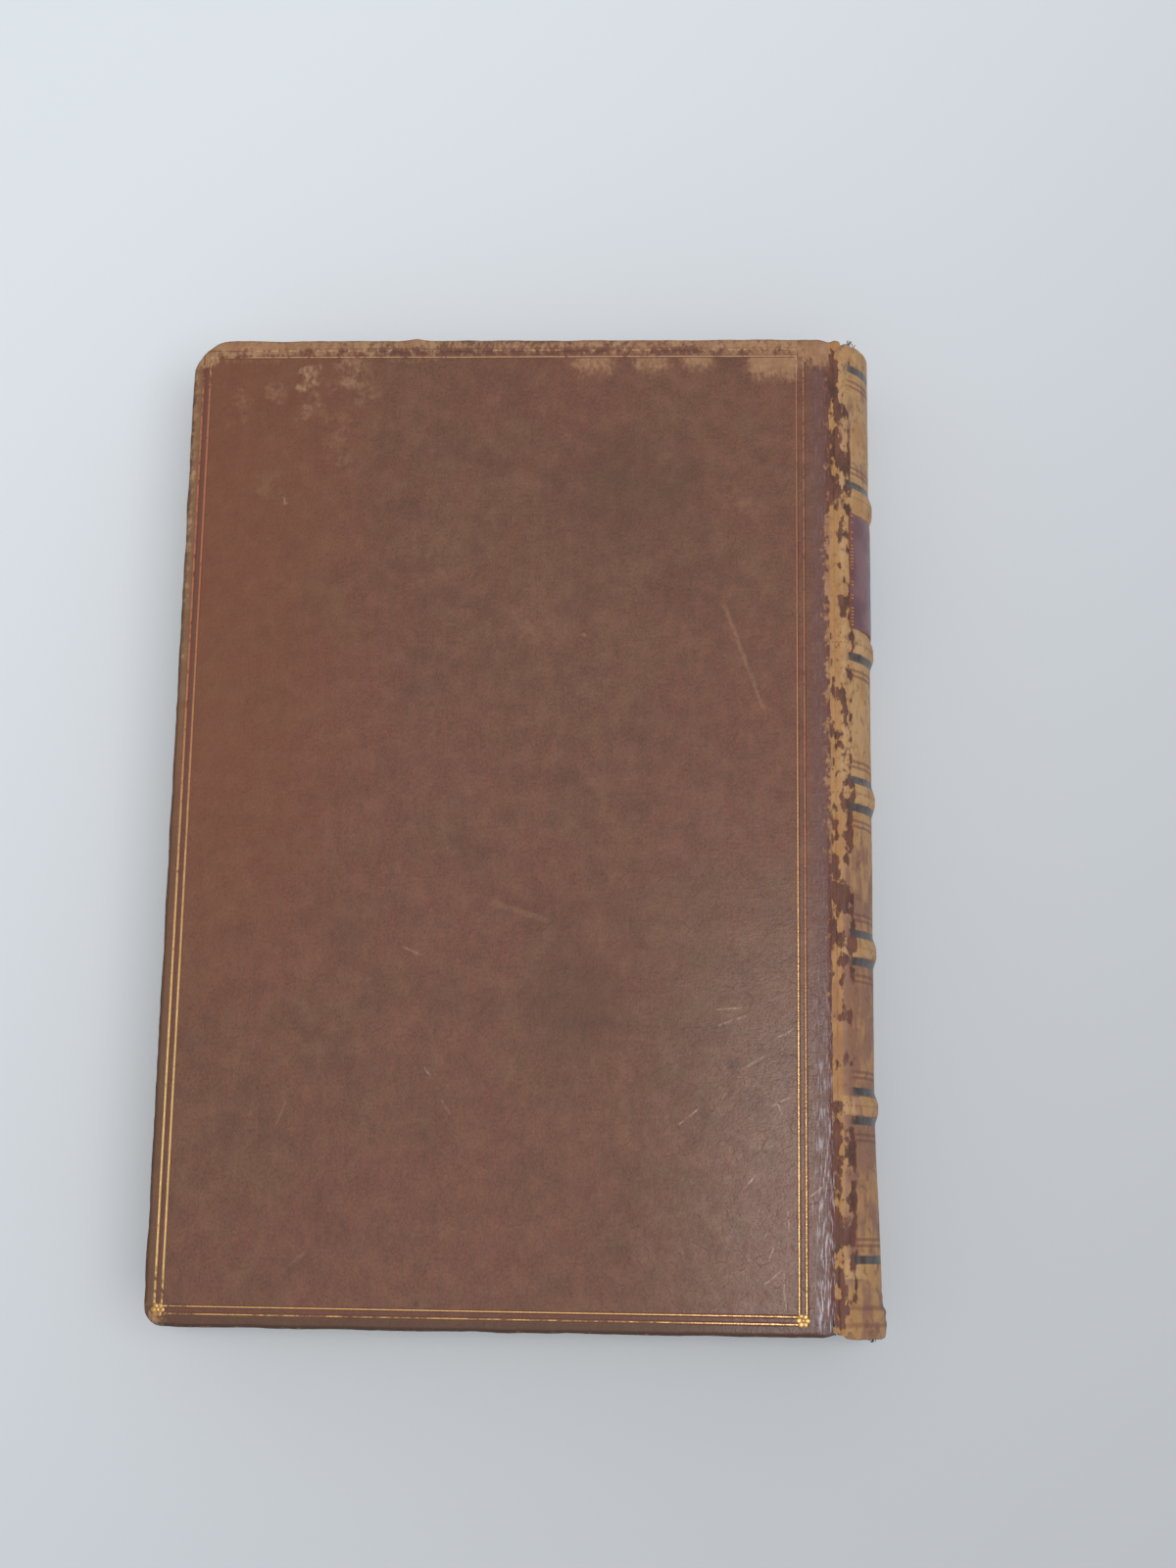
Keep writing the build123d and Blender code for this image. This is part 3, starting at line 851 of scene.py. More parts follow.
# %% Height and knocks of a cover's face
def face_height(x, y, inset, seed):
    """Height of the face: rounded edges, pressed rules, slow swellings and the dip at the joint."""
    drop = EDGE_ROUND - np.sqrt(EDGE_ROUND**2 - np.clip(EDGE_ROUND - inset, 0, EDGE_ROUND) ** 2)
    gap = np.maximum(np.maximum(RULE_LEFT - x, x - RULE_RIGHT), np.abs(y) - RULE_HEAD)
    swell = 0.05 * ripples(seed, 42)(x, y) + 0.02 * ripples(seed + 1, 11)(x, y)
    joint = JOINT_DIP * ease((x - HINGE + 1.6) / 1.6)
    pressed = rule_groove(gap) * (1 - 0.5 * ease((y - 60) / 50))
    return TOP - drop - pressed + swell * ease(inset / 3) - joint


def edge_knocks(x, y, inset, seed, upper):
    """How far use has pushed the edges out or in, with one torn-up burr at the rear cover's head."""
    knock = 0.11 * ripples(seed + 2, 13)(x, y) + 0.06 * ripples(seed + 3, 3.5)(x, y) - 0.1
    shift = knock * ease(1 - inset / 2.2)
    if upper:
        shift = shift + 0.55 * np.exp(-(((x - BURR_PLACE) / 2.0) ** 2)) * (y > 0) * ease(1 - inset / 2.2)
        rounded = np.where(y > 0, 0.4, 0.6) * ease((x - HINGE + 3) / 3)
        bumped = np.exp(-(((x - FORE) - (HEAD - y)) ** 2 + ((x - FORE) + (HEAD - y) - 4.7) ** 2) / 36)
        shift = np.maximum(shift - (rounded + 0.8 * bumped) * ease(1 - inset / 5), 0.1 - SKIN)
    return shift


# %% Build a cover's leather
# Rings below the rim as (in from the edge, height, share of the knocks)
TURN_IN_FLOOR = UNDER + TURN_IN
TURN_IN_RINGS = [
    (0, UNDER + 0.8, 1), (0.2, UNDER + 0.24, 1), (0.75, UNDER, 0.6), (TURN_IN_WIDTH - 0.6, UNDER, 0),
    (TURN_IN_WIDTH, UNDER + 0.15, 0), (TURN_IN_WIDTH, TURN_IN_FLOOR, 0), (SKIN, TURN_IN_FLOOR, 0),
    (SKIN, TOP - SKIN, 0)]


def cover_calf(name, finish, corners, seed, upper):
    """Leather of one cover. corners are the radii at the head and tail of the fore edge."""
    x, y, inset, out_x, out_y, reach = wrap_corners(*np.meshgrid(x_lines, y_lines), corners)
    shift = edge_knocks(x, y, inset, seed, upper)
    face = np.stack([x + out_x * shift, y + out_y * shift, face_height(x, y, inset, seed)], -1)

    # The rim, from the joint round the three free edges, and the rings below it
    last_row, last_column = len(y_lines) - 1, len(x_lines) - 1
    rim = [(last_row, column) for column in range(last_column, -1, -1)]
    rim += [(row, 0) for row in range(last_row - 1, -1, -1)]
    rim += [(0, column) for column in range(1, last_column + 1)]
    row, column = np.array(rim).T
    rim_x, rim_y, rim_shift = x[row, column], y[row, column], shift[row, column]
    rim_ox, rim_oy, rim_reach = out_x[row, column], out_y[row, column], reach[row, column]
    points = [face.reshape(-1, 3)]
    for depth, level, wear in TURN_IN_RINGS:
        step = np.minimum(depth, rim_reach) - rim_shift * wear
        ring_x = np.maximum(rim_x - rim_ox * step, FORE + depth - 1.0 * wear)
        limit = HEAD - depth + 1.0 * wear
        ring_y = np.clip(rim_y - rim_oy * step, -limit, limit)
        points.append(np.stack([ring_x, ring_y, np.full(len(rim), level)], -1))

    count = len(rim)
    loops = [row * len(x_lines) + column]
    loops += [x.size + number * count + np.arange(count) for number in range(len(TURN_IN_RINGS))]
    faces = grid_faces(len(y_lines), len(x_lines))
    for above, below in zip(loops, loops[1:]):
        faces += np.stack([above[:-1], above[1:], below[1:], below[:-1]], -1).tolist()
    faces.append(loops[-1].tolist())
    joint_end = [r * len(x_lines) + last_column for r in range(last_row, -1, -1)]
    joint_end += [int(loop[-1]) for loop in loops[1:]]
    faces.append(joint_end + [int(loop[0]) for loop in loops[:0:-1]])
    points = np.concatenate(points)
    if not upper:
        points[:, 2] = TOP - points[:, 2]
    return make_piece(name, points, faces, finish)


# %% Make both covers' leather
rear_calf = cover_calf("rear_calf", REAR_CALF, (8.0, 4.5), 11, True)
front_calf = cover_calf("front_calf", FRONT_CALF, (3.0, 3.0), 23, False)
for piece, cover in ((rear_calf, "rear"), (front_calf, "front")):
    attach(piece, f"{cover}_cover")
    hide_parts(f"{cover}_leather")

# %% [markdown]
# ## The spine's leather
# The back's leather runs over both shoulders, down the rounded spine and over five cords. At head
# and tail it turns in over the headband as a headcap. A swept curve would give the round but not
# the bands, so the section is sampled once, with its outward direction, and every row along the
# height pushes it out by the height of the bands. Handling has flared and frayed the tail.

# %% Section of the back
def back_section():
    """Points, outward directions and turns in degrees of the section, from joint to joint."""
    ridge_x = BACK_X + (BACK_RADIUS - RIDGE_ROUND) * cos(radians(ARC_HALF))
    flat = spaced((HINGE, 0.16), (HINGE + 0.8, 0.3), (ridge_x, 0))[:-1]
    ridge = np.radians(np.linspace(90, ARC_HALF, 8))[:-1]
    arc = np.radians(np.linspace(ARC_HALF, 0, 30))
    x = np.concatenate([flat, ridge_x + RIDGE_ROUND * np.cos(ridge), BACK_X + BACK_RADIUS * np.cos(arc)])
    up = np.concatenate([np.full(len(flat), SHOULDER_HALF),
                         SHOULDER_HALF - RIDGE_ROUND + RIDGE_ROUND * np.sin(ridge),
                         BACK_RADIUS * np.sin(arc)])
    turn = np.concatenate([np.full(len(flat), pi / 2), ridge, arc])
    both = lambda half, sign: np.concatenate([half, sign * half[-2::-1]])
    return both(x, 1), both(up, -1), both(turn, -1)


section_x, section_up, section_turn = back_section()
print("back section:", len(section_x), "points")

# %% Rows along the height, dense over the bands
HEADCAP_RISE = 1.5
BAND_WORN = 0.8  # handling has pressed the bands a little flatter than they were made
ROW_END = HEAD - HEADCAP_RISE
open_rows = spaced((-ROW_END, 0.35), (-ROW_END + 5, 1.1), (ROW_END - 5, 0.35), (ROW_END, 0))
band_rows = [place + offset for place in BAND_PLACES for offset in np.arange(-3.6, 3.61, 0.24)]
near_band = lambda row: min(abs(row - place) for place in BAND_PLACES) < 3.8
back_rows = np.array(sorted([row for row in open_rows if not near_band(row)] + band_rows))

# A headcap as (rise above the row end, depth inwards), over the headband and back under
cap_turn = np.radians([18, 36, 54, 72, 90])
cap_profile = [(HEADCAP_RISE * sin(a), HEADCAP_RISE * (1 - cos(a))) for a in cap_turn]
cap_profile += [(1.5, 2.6), (1.42, 3.35), (1.1, 3.6), (0.78, 3.4), (0.7, 1.6), (0.3, 1.0)]
print("back rows:", len(back_rows), "and", len(cap_profile), "for each headcap")


def band_lift(y, foot, top, height):
    """Height of the raised bands across their run: wide at the foot, narrower at the top."""
    rise = lambda place: ease((foot - np.abs(y - place)) / (foot - top))
    return height * sum(rise(place) for place in BAND_PLACES)


def tail_flare(y):
    """How far the tail of the back is pulled outwards, most in its last millimetres."""
    return np.interp(y, [-HEAD, -107.5, -106, -94, -82, -66], [2.1, 2.0, 1.35, 0.95, 0.6, 0.0])


# %% A headcap
def headcap(end, seed, base, along, on_cap, shoulder):
    """Rows of leather from the last row of the back over the headband and back under it."""
    ragged = 0.32 * ripples(seed, 3.1)(along, 0) + 0.16 * ripples(seed + 1, 1.2)(along, 0)
    cap = []
    for number, (rise, depth) in enumerate(cap_profile, start=1):
        share = min(1, number / 4)
        plain_rise = (0.7 if end > 0 else 0.9) * shoulder * share
        cap_rise = rise * (0.6 if end > 0 else 1.0)
        height = on_cap * cap_rise + (1 - on_cap) * plain_rise + ragged * share
        tight = 1.0 if end > 0 or number > 5 else 0.35
        inwards = on_cap * depth * tight + (1 - on_cap) * SKIN * number / len(cap_profile)
        cap.append((end * (ROW_END + height), base - inwards))
    return cap


# %% Close the skin of the back
def close_back(outer, inner, picked):
    """Faces of the outside, of the underside with its fewer points, and of the edges between them."""
    rows, columns = outer.shape[:2]
    inner_rows, inner_columns = inner.shape[:2]
    start = rows * columns
    faces = grid_faces(rows, columns)
    faces += [[corner + start for corner in face] for face in grid_faces(inner_rows, inner_columns)]
    out_at = lambda row, column: row * columns + column
    in_at = lambda row, column: start + row * inner_columns + column
    for row, inner_row in ((0, 0), (rows - 1, inner_rows - 1)):
        for n in range(inner_columns - 1):
            edge = [out_at(row, c) for c in range(picked[n], picked[n + 1] + 1)]
            faces.append(edge + [in_at(inner_row, n + 1), in_at(inner_row, n)])
    first, last = len(cap_profile), len(cap_profile) + inner_rows - 1
    for column, inner_column in ((0, 0), (columns - 1, inner_columns - 1)):
        for n in range(inner_rows - 1):
            faces.append([out_at(first + n, column), out_at(first + n + 1, column),
                          in_at(n + 1, inner_column), in_at(n, inner_column)])
        faces.append([out_at(r, column) for r in range(first + 1)] + [in_at(0, inner_column)])
        tops = [out_at(r, column) for r in range(last, rows)]
        faces.append(tops + [in_at(inner_rows - 1, inner_column)])
    return faces


# %% Build the spine's leather
def spine_calf():
    """Leather of the back: its rows, a headcap at each end, and an underside with fewer points."""
    turn = np.degrees(np.abs(section_turn))
    on_cap = ease((BAND_HALF + 3 - turn) / 5)
    flare_share = ease((BAND_HALF - turn) / 32)
    run_x, run_up = np.diff(section_x, prepend=HINGE), np.diff(section_up, prepend=SHOULDER_HALF)
    along = np.cumsum(np.hypot(run_x, run_up))
    band_end = ease((BAND_HALF + 1.5 - turn) / 4)
    sink = -0.45 * ease(1 - (section_x - HINGE) / 0.8)
    shoulder = ease((turn - 70) / 15)
    valley = ease((turn - 46) / 12) * ease((89 - turn) / 12)

    rows = []
    uneven = ripples(31, 14)
    pitted = ripples(32, 3)
    for y in back_rows:
        out = band_lift(y, 3.9, 0.7, BAND_WORN) * band_end + sink
        out = out + 0.06 * uneven(along, y) + 0.025 * pitted(along, y)
        out = out + tail_flare(y) * flare_share
        out = out + 0.09 * np.sin((y + HEAD) * 2.2 + along * 0.1) * ease((-101 - y) / 3) * on_cap
        rows.append((np.full(len(turn), y), out))
    tail_cap = headcap(-1, 41, rows[0][1], along, on_cap, shoulder)
    head_cap = headcap(1, 43, rows[-1][1], along, on_cap, shoulder)
    rows = tail_cap[::-1] + rows + head_cap

    # The joint's torn end leaves a notch at the tail, and a valley is pressed in beside it at the head
    def place(y, out):
        notch = 0.5 * ease((-HEAD + 5 - y) / 3) * shoulder
        out_x, out_up = np.cos(section_turn), np.sin(section_turn)
        slide = notch * ease(1 - (section_x - HINGE) / 2.0)
        y = y - 0.7 * valley * ease((y - 107) / 4)
        return np.stack([section_x + slide + out_x * out, y, MID + section_up + out_up * out], -1)

    outer = np.array([place(y, out) for y, out in rows])
    picked = np.arange(0, len(turn), 4)
    inner = []
    for y in back_rows:
        under_band = BAND_RISE * sum(np.clip((2.35 - abs(y - p)) / 1.1, 0, 1) for p in BAND_PLACES)
        under = under_band * band_end + tail_flare(y) * flare_share - SKIN + 0.03
        inner.append(place(np.full(len(turn), y), under)[picked])
    inner = np.array(inner)
    points = np.concatenate([outer.reshape(-1, 3), inner.reshape(-1, 3)])
    return make_piece("spine_calf", points, close_back(outer, inner, picked), SPINE_CALF)


spine = spine_calf()
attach(spine, "book_block")
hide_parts("spine_leather")

# %% [markdown]
# ## The joints
# Between board and spine the same skin works as a hinge. It can't ride on one body: when the cover
# opens it has to bend. Inside, a folded paper guard covers the gap in the same way.

# %% Joint leather and paper guards
JOINT_REACH, JOINT_SKIN = 1.6, 0.26
GUARD_PAPER = 0.05


def joint_strip(name, upper):
    """The strip of calf over one joint, sunk in the middle, closed like a thin belt."""
    across = np.linspace(-JOINT_REACH, JOINT_REACH, 21)
    rows = spaced((1.2 - HEAD, 1.2), (HEAD - 0.9, 0))
    t, y = np.meshgrid(across, rows)
    dip = 0.5 + 0.42 * ease((np.abs(t) - 0.6) / 1.0)
    z = TOP - dip + 0.05 * ripples(51, 5)(t, y) + 0.05 * ripples(52, 1.8)(t, y)
    x = HINGE + t
    under = z - JOINT_SKIN
    if not upper:
        z, under = TOP - z, TOP - under
    sheets = [np.stack([x, y, level], -1) for level in (z, under)]
    return make_piece(name, *shell(*sheets), SPINE_CALF)


def paper_guard(name, upper):
    """Paper folded into the joint: up the shoulder of the leaves and down the board's edge."""
    near, far, crest, foot = HINGE - 0.06, HINGE - 0.24, MID + 13.4, MID + 10.6
    bend = np.linspace(0, pi, 15)[1:-1]
    middle, half = (near + far) / 2, (near - far) / 2
    path = [(near, z) for z in np.linspace(foot, crest, 5)]
    path += [(middle + half * cos(a), crest + half * sin(a)) for a in bend]
    path += [(far, z) for z in np.linspace(crest, foot + 0.25, 5)]
    path = np.array(path)
    run = np.gradient(path, axis=0)
    side = np.stack([-run[:, 1], run[:, 0]], -1) / np.linalg.norm(run, axis=1)[:, None]
    rows = np.linspace(4 - HEAD, HEAD - 4, 40)
    sheets = []
    for offset in (-GUARD_PAPER / 2, GUARD_PAPER / 2):
        line = path + side * offset
        level = line[:, 1] if upper else TOP - line[:, 1]
        sheets.append(np.array([[(x, y, z) for x, z in zip(line[:, 0], level)] for y in rows]))
    return make_piece(name, *shell(*sheets), ENDPAPER)


for cover, upper in (("rear", True), ("front", False)):
    strip = joint_strip(f"{cover}_joint_calf", upper)
    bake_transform(strip)
    guard = paper_guard(f"{cover}_paper_guard", upper)
    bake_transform(guard)

# %% [markdown]
# ## Label and endpapers
# The label is a thin skin pasted between the first two bands: a curved patch whose cut edges waver.
# The pastedowns are sheets of paper glued inside the boards, just uneven enough to catch light.
# Both are closed shells, so they keep a real edge when the cover opens.

# %% Title label
LABEL_SKIN = 0.3


def title_label():
    """The label's skin on the round of the back, thinner along its wavering cut edges."""
    low, high = box_mm("title_label")
    angle, y = np.meshgrid(np.linspace(-1, 1, 61), np.linspace(-1, 1, 49))
    wave = ripples(61, 5)
    reach = np.radians(BAND_HALF - 0.9 + 0.5 * wave(y * 14, 0 * y))
    half = (high[1] - low[1]) / 2 - 0.25 + 0.14 * wave(angle * 16, 30 + y)
    turn = angle * reach
    place = mid_height("title_label") + y * half
    sheets = []
    for lift in (LABEL_SKIN, 0.0):
        raised = lift * (1 - 0.35 * np.maximum(np.abs(angle), np.abs(y)) ** 24)
        radius = BACK_RADIUS + raised + 0.06 * ripples(31, 14)(turn * BACK_RADIUS, place) * (lift > 0)
        sheets.append(np.stack([BACK_X + radius * np.cos(turn), place, MID + radius * np.sin(turn)], -1))
    return make_piece("label_calf", *shell(*sheets), LABEL_CALF)


label = title_label()
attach(label, "book_block")
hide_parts("title_label")


# %% Pastedowns
def pastedown(cover):
    """The endpaper glued inside one cover."""
    low, high = box_mm(f"{cover}_pastedown")
    x, y = np.meshgrid(np.linspace(low[0], high[0], 60), np.linspace(low[1], high[1], 80))
    wave = 0.025 * ripples(71 + len(cover), 30)(x, y)
    inner, outer = (low[2], high[2]) if cover == "rear" else (high[2], low[2])
    sign = 1 if cover == "rear" else -1
    visible = np.stack([x, y, inner + sign * (0.04 + wave)], -1)
    glued = np.stack([x, y, np.full(x.shape, outer)], -1)
    return make_piece(f"{cover}_endpaper", *shell(visible, glued), ENDPAPER)


for cover in ("rear", "front"):
    sheet = pastedown(cover)
    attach(sheet, f"{cover}_cover")
    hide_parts(f"{cover}_pastedown")

# %% [markdown]
# ## Leaves by rule
# The block of leaves is gatherings stacked flat, then rounded: the same slab many times, moved by one
# rule. Geometry Nodes suit that. A slab is repeated up the thickness, each a little out of true,
# and then every point is moved: in at the fore edge, out on the round of the back, and fanned into
# the shoulders where the back was hammered over. The leaf attribute keeps each point's own leaf.

# %% Helpers for growing pieces
def new_tree(name, inputs):
    """A geometry tree with named inputs. Returns it with a wire for each input."""
    tree = bpy.data.node_groups.new(name, "GeometryNodeTree")
    tree.interface.new_socket("Geometry", in_out="OUTPUT", socket_type="NodeSocketGeometry")
    for label, kind in inputs.items():
        tree.interface.new_socket(label, in_out="INPUT", socket_type=f"NodeSocket{kind}")
    entry = tree.nodes.new("NodeGroupInput")
    return tree, {label: Wire(entry.outputs[label]) for label in inputs}


def end_tree(tree, geometry, material, **choice):
    """Makes instances real, gives them a material and joins them to the tree's output."""
    solid = geometry.geo("RealizeInstances", Geometry=geometry)
    dyed = solid.geo("SetMaterial", Geometry=solid, Material=material, **choice)
    tree.links.new(dyed.socket, tree.nodes.new("NodeGroupOutput").inputs["Geometry"])


def random_unit(seed, **feeds):
    """A number from 0 to 1 drawn for every point, the same on each run."""
    feeds = {"Seed": seed, **feeds}
    return seed.make("FunctionNodeRandomValue", {"data_type": "FLOAT"}, feeds, "Value_001")


def grow(name, tree, values):
    """Runs a tree once and keeps its result as a plain mesh piece."""
    piece = bpy.data.objects.new(name, bpy.data.meshes.new(name))
    bpy.context.scene.collection.objects.link(piece)
    modifier = piece.modifiers.new("grow", "NODES")
    modifier.node_group = tree
    for item in tree.interface.items_tree:
        if item.in_out == "INPUT":
            modifier[item.identifier] = values[item.name]
    bpy.context.view_layer.update()
    graph = bpy.context.evaluated_depsgraph_get()
    mesh = bpy.data.meshes.new_from_object(
        piece.evaluated_get(graph), preserve_all_data_layers=True, depsgraph=graph)
    piece.modifiers.clear()
    piece.data = mesh
    mesh.name = name
    print(f"{name}: {len(mesh.polygons)} faces")
    return piece


# %% Tree of the leaves
FRAY_SIZE = 1 / 0.36  # lumps of the ragged edges
FRAY, OUT_OF_TRUE = 0.5 * MM, 0.4 * MM  # how far the edges fray, and a gathering lies out of true
FAN_RUN = 0.4 * MM  # the run in which the leaves fan out at the joint


def leaves_tree():
    """Gatherings stacked and rounded; sizes come in metres."""
    tree, size = new_tree("leaves", {
        "Gatherings": "Int", "Height": "Float", "Thickness": "Float", "Fore": "Float", "Hinge": "Float",
        "Hollow": "Float", "Back_X": "Float", "Back_Radius": "Float", "Mid": "Float", "Swell": "Float",
        "Seed": "Int", "Paper": "Material"})
    start = size["Height"]
    pitch = size["Thickness"] / size["Gatherings"]
    slab_size = start.vector(X=1.0, Y=size["Height"], Z=pitch * 0.985)
    slab = start.geo("MeshCube", "Mesh", Size=slab_size, Vertices_X=60, Vertices_Y=9, Vertices_Z=6)
    first = start.vector(Z=pitch * 0.5 - size["Thickness"] * 0.5)
    stack = start.geo("MeshLine", "Mesh", Count=size["Gatherings"], Start_Location=first,
                      Offset=start.vector(Z=pitch))
    slabs = start.geo("InstanceOnPoints", Points=stack, Instance=slab)
    slabs = start.geo("RealizeInstances", Geometry=slabs)

    # Where each point is in the flat stack: 0 to 1 along the leaf, and up the thickness
    x, y, z = start.geo("InputPosition").parts()
    run = 0.5 + x
    run = 1 - (1 - run).math("POWER", 1.7)
    level = z / size["Thickness"] * 2
    gathering = (z / pitch + size["Gatherings"] * 0.5).math("FLOOR")
    frayed = start.vector(X=y, Y=z * 12, Z=run * 0.05).noise(FRAY_SIZE * MM, 2.0)
    jitter = (random_unit(size["Seed"], ID=gathering) - 0.5) * OUT_OF_TRUE + (frayed - 0.5) * FRAY

    # The rule: hollow fore edge, round back, shoulders fanned at the joint
    x_fore = size["Fore"] + size["Hollow"] * (1 - level * level) + jitter
    beyond = (1 - run).step(0.075, 0.05)
    z_fan = z * (1 + beyond * size["Swell"])
    x_back = size["Back_X"] + (size["Back_Radius"] * size["Back_Radius"] - z_fan * z_fan).math("SQRT")
    x_new = x_fore + (x_back - x_fore) * run
    z_fan = z * (1 + x_new.step(size["Hinge"], size["Hinge"] + FAN_RUN) * size["Swell"])
    y_new = y + jitter * y / abs(y).most(MM)
    moved = start.vector(X=x_new, Y=y_new, Z=z_fan + size["Mid"])
    marked = start.geo("StoreNamedAttribute", 0, {"data_type": "FLOAT", "domain": "POINT"},
                       Geometry=slabs, Name="leaf", Value=level * 0.5 + 0.5)
    bent = start.geo("SetPosition", Geometry=marked, Position=moved)
    flat = start.geo("SetShadeSmooth", Geometry=bent, Shade_Smooth=False)
    end_tree(tree, flat, size["Paper"])
    return tree


# %% Grow the leaves
block_low, block_high = box_mm("text_block")
GATHERINGS = 22
LEAF_TRIM, HOLLOW, BACK_CLEAR = 0.3, 3.2, 1.4  # in from the CAD block, at the fore edge, under the spine
LEAF_HALF = box_mm("rear_pastedown")[0][2] - 0.2 - MID  # clear of the pastedowns
SWELL = (block_high[2] - MID) / LEAF_HALF - 1
leaves = grow("leaves", leaves_tree(), {
    "Gatherings": GATHERINGS, "Height": (block_high[1] - block_low[1] - 2 * LEAF_TRIM) * MM,
    "Thickness": 2 * LEAF_HALF * MM, "Fore": (block_low[0] + LEAF_TRIM) * MM, "Hinge": HINGE * MM,
    "Hollow": HOLLOW * MM, "Back_X": BACK_X * MM, "Back_Radius": (BACK_RADIUS - BACK_CLEAR) * MM,
    "Mid": MID * MM, "Swell": SWELL, "Seed": 5, "Paper": LEAVES})
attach(leaves, "book_block")
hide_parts("text_block")

# %% [markdown]
# ## Finishing touches that repeat
# Headbands are silk wound over a cord in two colours, rosettes are a petal stamped six times round a
# dot at each corner of the rules, the label's border is two rows of teeth, and loose threads stand
# out of the worn headcaps. Each is one small shape repeated along a path, so each is a tree with its
# sizes as inputs.

# %% Points on the round of the back
def back_middle(height):
    """A place on the axis of the back's round, in metres."""
    return BACK_X * MM, height * MM, MID * MM


def arc_points(count, radius, angle, middle, along=0.0):
    """Points at a radius and an angle from the axis of the back."""
    line = count.geo("MeshLine", "Mesh", Count=count)
    ring = count.vector(X=radius * angle.math("COSINE"), Y=along, Z=radius * angle.math("SINE"))
    return count.geo("SetPosition", Geometry=line, Position=ring.combine("ADD", middle))


# %% Tree of a headband
def headband_tree():
    """Loops of silk set side by side along the arc of the back, two colours in turn."""
    tree, size = new_tree("headband", {
        "Loops": "Int", "Radius": "Float", "Half_Angle": "Float", "Middle": "Vector", "Loop_Radius": "Float",
        "Thread": "Float", "Silk_A": "Material", "Silk_B": "Material"})
    count = size["Loops"]
    number = count.geo("InputIndex")
    angle = (number / (count - 1) * 2 - 1) * size["Half_Angle"]
    points = arc_points(count, size["Radius"], angle, size["Middle"])
    loop = count.geo("CurvePrimitiveCircle", "Curve", Resolution=14, Radius=size["Loop_Radius"])
    thread = count.geo("CurvePrimitiveCircle", "Curve", Resolution=6, Radius=size["Thread"])
    wound = count.geo("CurveToMesh", "Mesh", Curve=loop, Profile_Curve=thread)
    loops = count.geo("InstanceOnPoints", Points=points, Instance=wound,
                      Rotation=count.vector(Y=0.0 - angle))
    odd = (number / 3).math("FLOOR").math("MODULO", 2.0)
    marked = count.geo("StoreNamedAttribute", 0, {"data_type": "FLOAT", "domain": "INSTANCE"},
                       Geometry=loops, Name="silk", Value=odd)
    solid = count.geo("RealizeInstances", Geometry=marked)
    which = count.geo("InputNamedAttribute", 0, {"data_type": "FLOAT"}, Name="silk")
    first = count.geo("SetMaterial", Geometry=solid, Material=size["Silk_A"])
    end_tree(tree, first, size["Silk_B"], Selection=which.math("GREATER_THAN", 0.5))
    return tree


# %% Grow the headbands
silk_tree = headband_tree()
for end in ("head", "tail"):
    piece = grow(f"silk_headband_{end}", silk_tree, {
        "Loops": 84, "Radius": (BACK_RADIUS - 2.1) * MM, "Half_Angle": radians(BAND_HALF - 1),
        "Middle": back_middle(mid_height(f"headband_{end}")), "Loop_Radius": 0.76 * MM,
        "Thread": 0.19 * MM, "Silk_A": SILK_RED, "Silk_B": SILK_PALE})
    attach(piece, "book_block")
    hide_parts(f"headband_{end}")

# %% Tree of the corner rosettes
def rosette_tree():
    """Stamped flowers at the corners of a cover's rules; those at a worn head are left out."""
    tree, size = new_tree("rosettes", {
        "Width": "Float", "Height": "Float", "Middle": "Vector", "Petals": "Int", "Radius": "Float",
        "Head_Worn": "Float", "Gilt": "Material"})
    start = size["Width"]
    corners = start.geo("MeshGrid", "Mesh", Size_X=size["Width"], Size_Y=size["Height"], Vertices_X=2,
                        Vertices_Y=2)
    corners = start.geo("Transform", Geometry=corners, Translation=size["Middle"])
    number = start.geo("InputIndex")
    angle = number / size["Petals"] * (2 * pi)
    reach = size["Radius"] * 0.62
    ring = start.vector(X=angle.math("COSINE") * reach, Y=angle.math("SINE") * reach)
    points = start.geo("MeshLine", "Mesh", Count=size["Petals"])
    points = start.geo("SetPosition", Geometry=points, Position=ring)
    petal = start.geo("MeshUVSphere", "Mesh", Segments=12, Rings=8, Radius=size["Radius"] * 0.4)
    petals = start.geo("InstanceOnPoints", Points=points, Instance=petal, Rotation=start.vector(Z=angle),
                       Scale=(1.0, 0.95, 0.24))
    dot = start.geo("Transform", Geometry=petal, Scale=(0.8, 0.8, 0.3))
    flower = start.geo("JoinGeometry", Geometry=[petals, dot])
    kept = (number.math("MODULO", 2.0) * size["Head_Worn"]).math("LESS_THAN", 0.5)
    flowers = start.geo("InstanceOnPoints", Points=corners, Instance=flower, Selection=kept)
    end_tree(tree, flowers, size["Gilt"])
    return tree


# %% Stamp the rosettes
stamp = rosette_tree()
for cover, level, worn in (("rear", TOP - 0.03, 1.0), ("front", 0.03, 0.0)):
    inner_left, inner_right = RULE_LEFT + RULE_PITCH / 2, RULE_RIGHT - RULE_PITCH / 2
    piece = grow(f"{cover}_rosettes", stamp, {
        "Width": (inner_right - inner_left) * MM, "Height": (2 * RULE_HEAD - RULE_PITCH) * MM,
        "Middle": ((inner_left + inner_right) / 2 * MM, 0, level * MM), "Petals": 6, "Radius": 1.5 * MM,
        "Head_Worn": worn, "Gilt": GOLD})
    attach(piece, f"{cover}_cover")


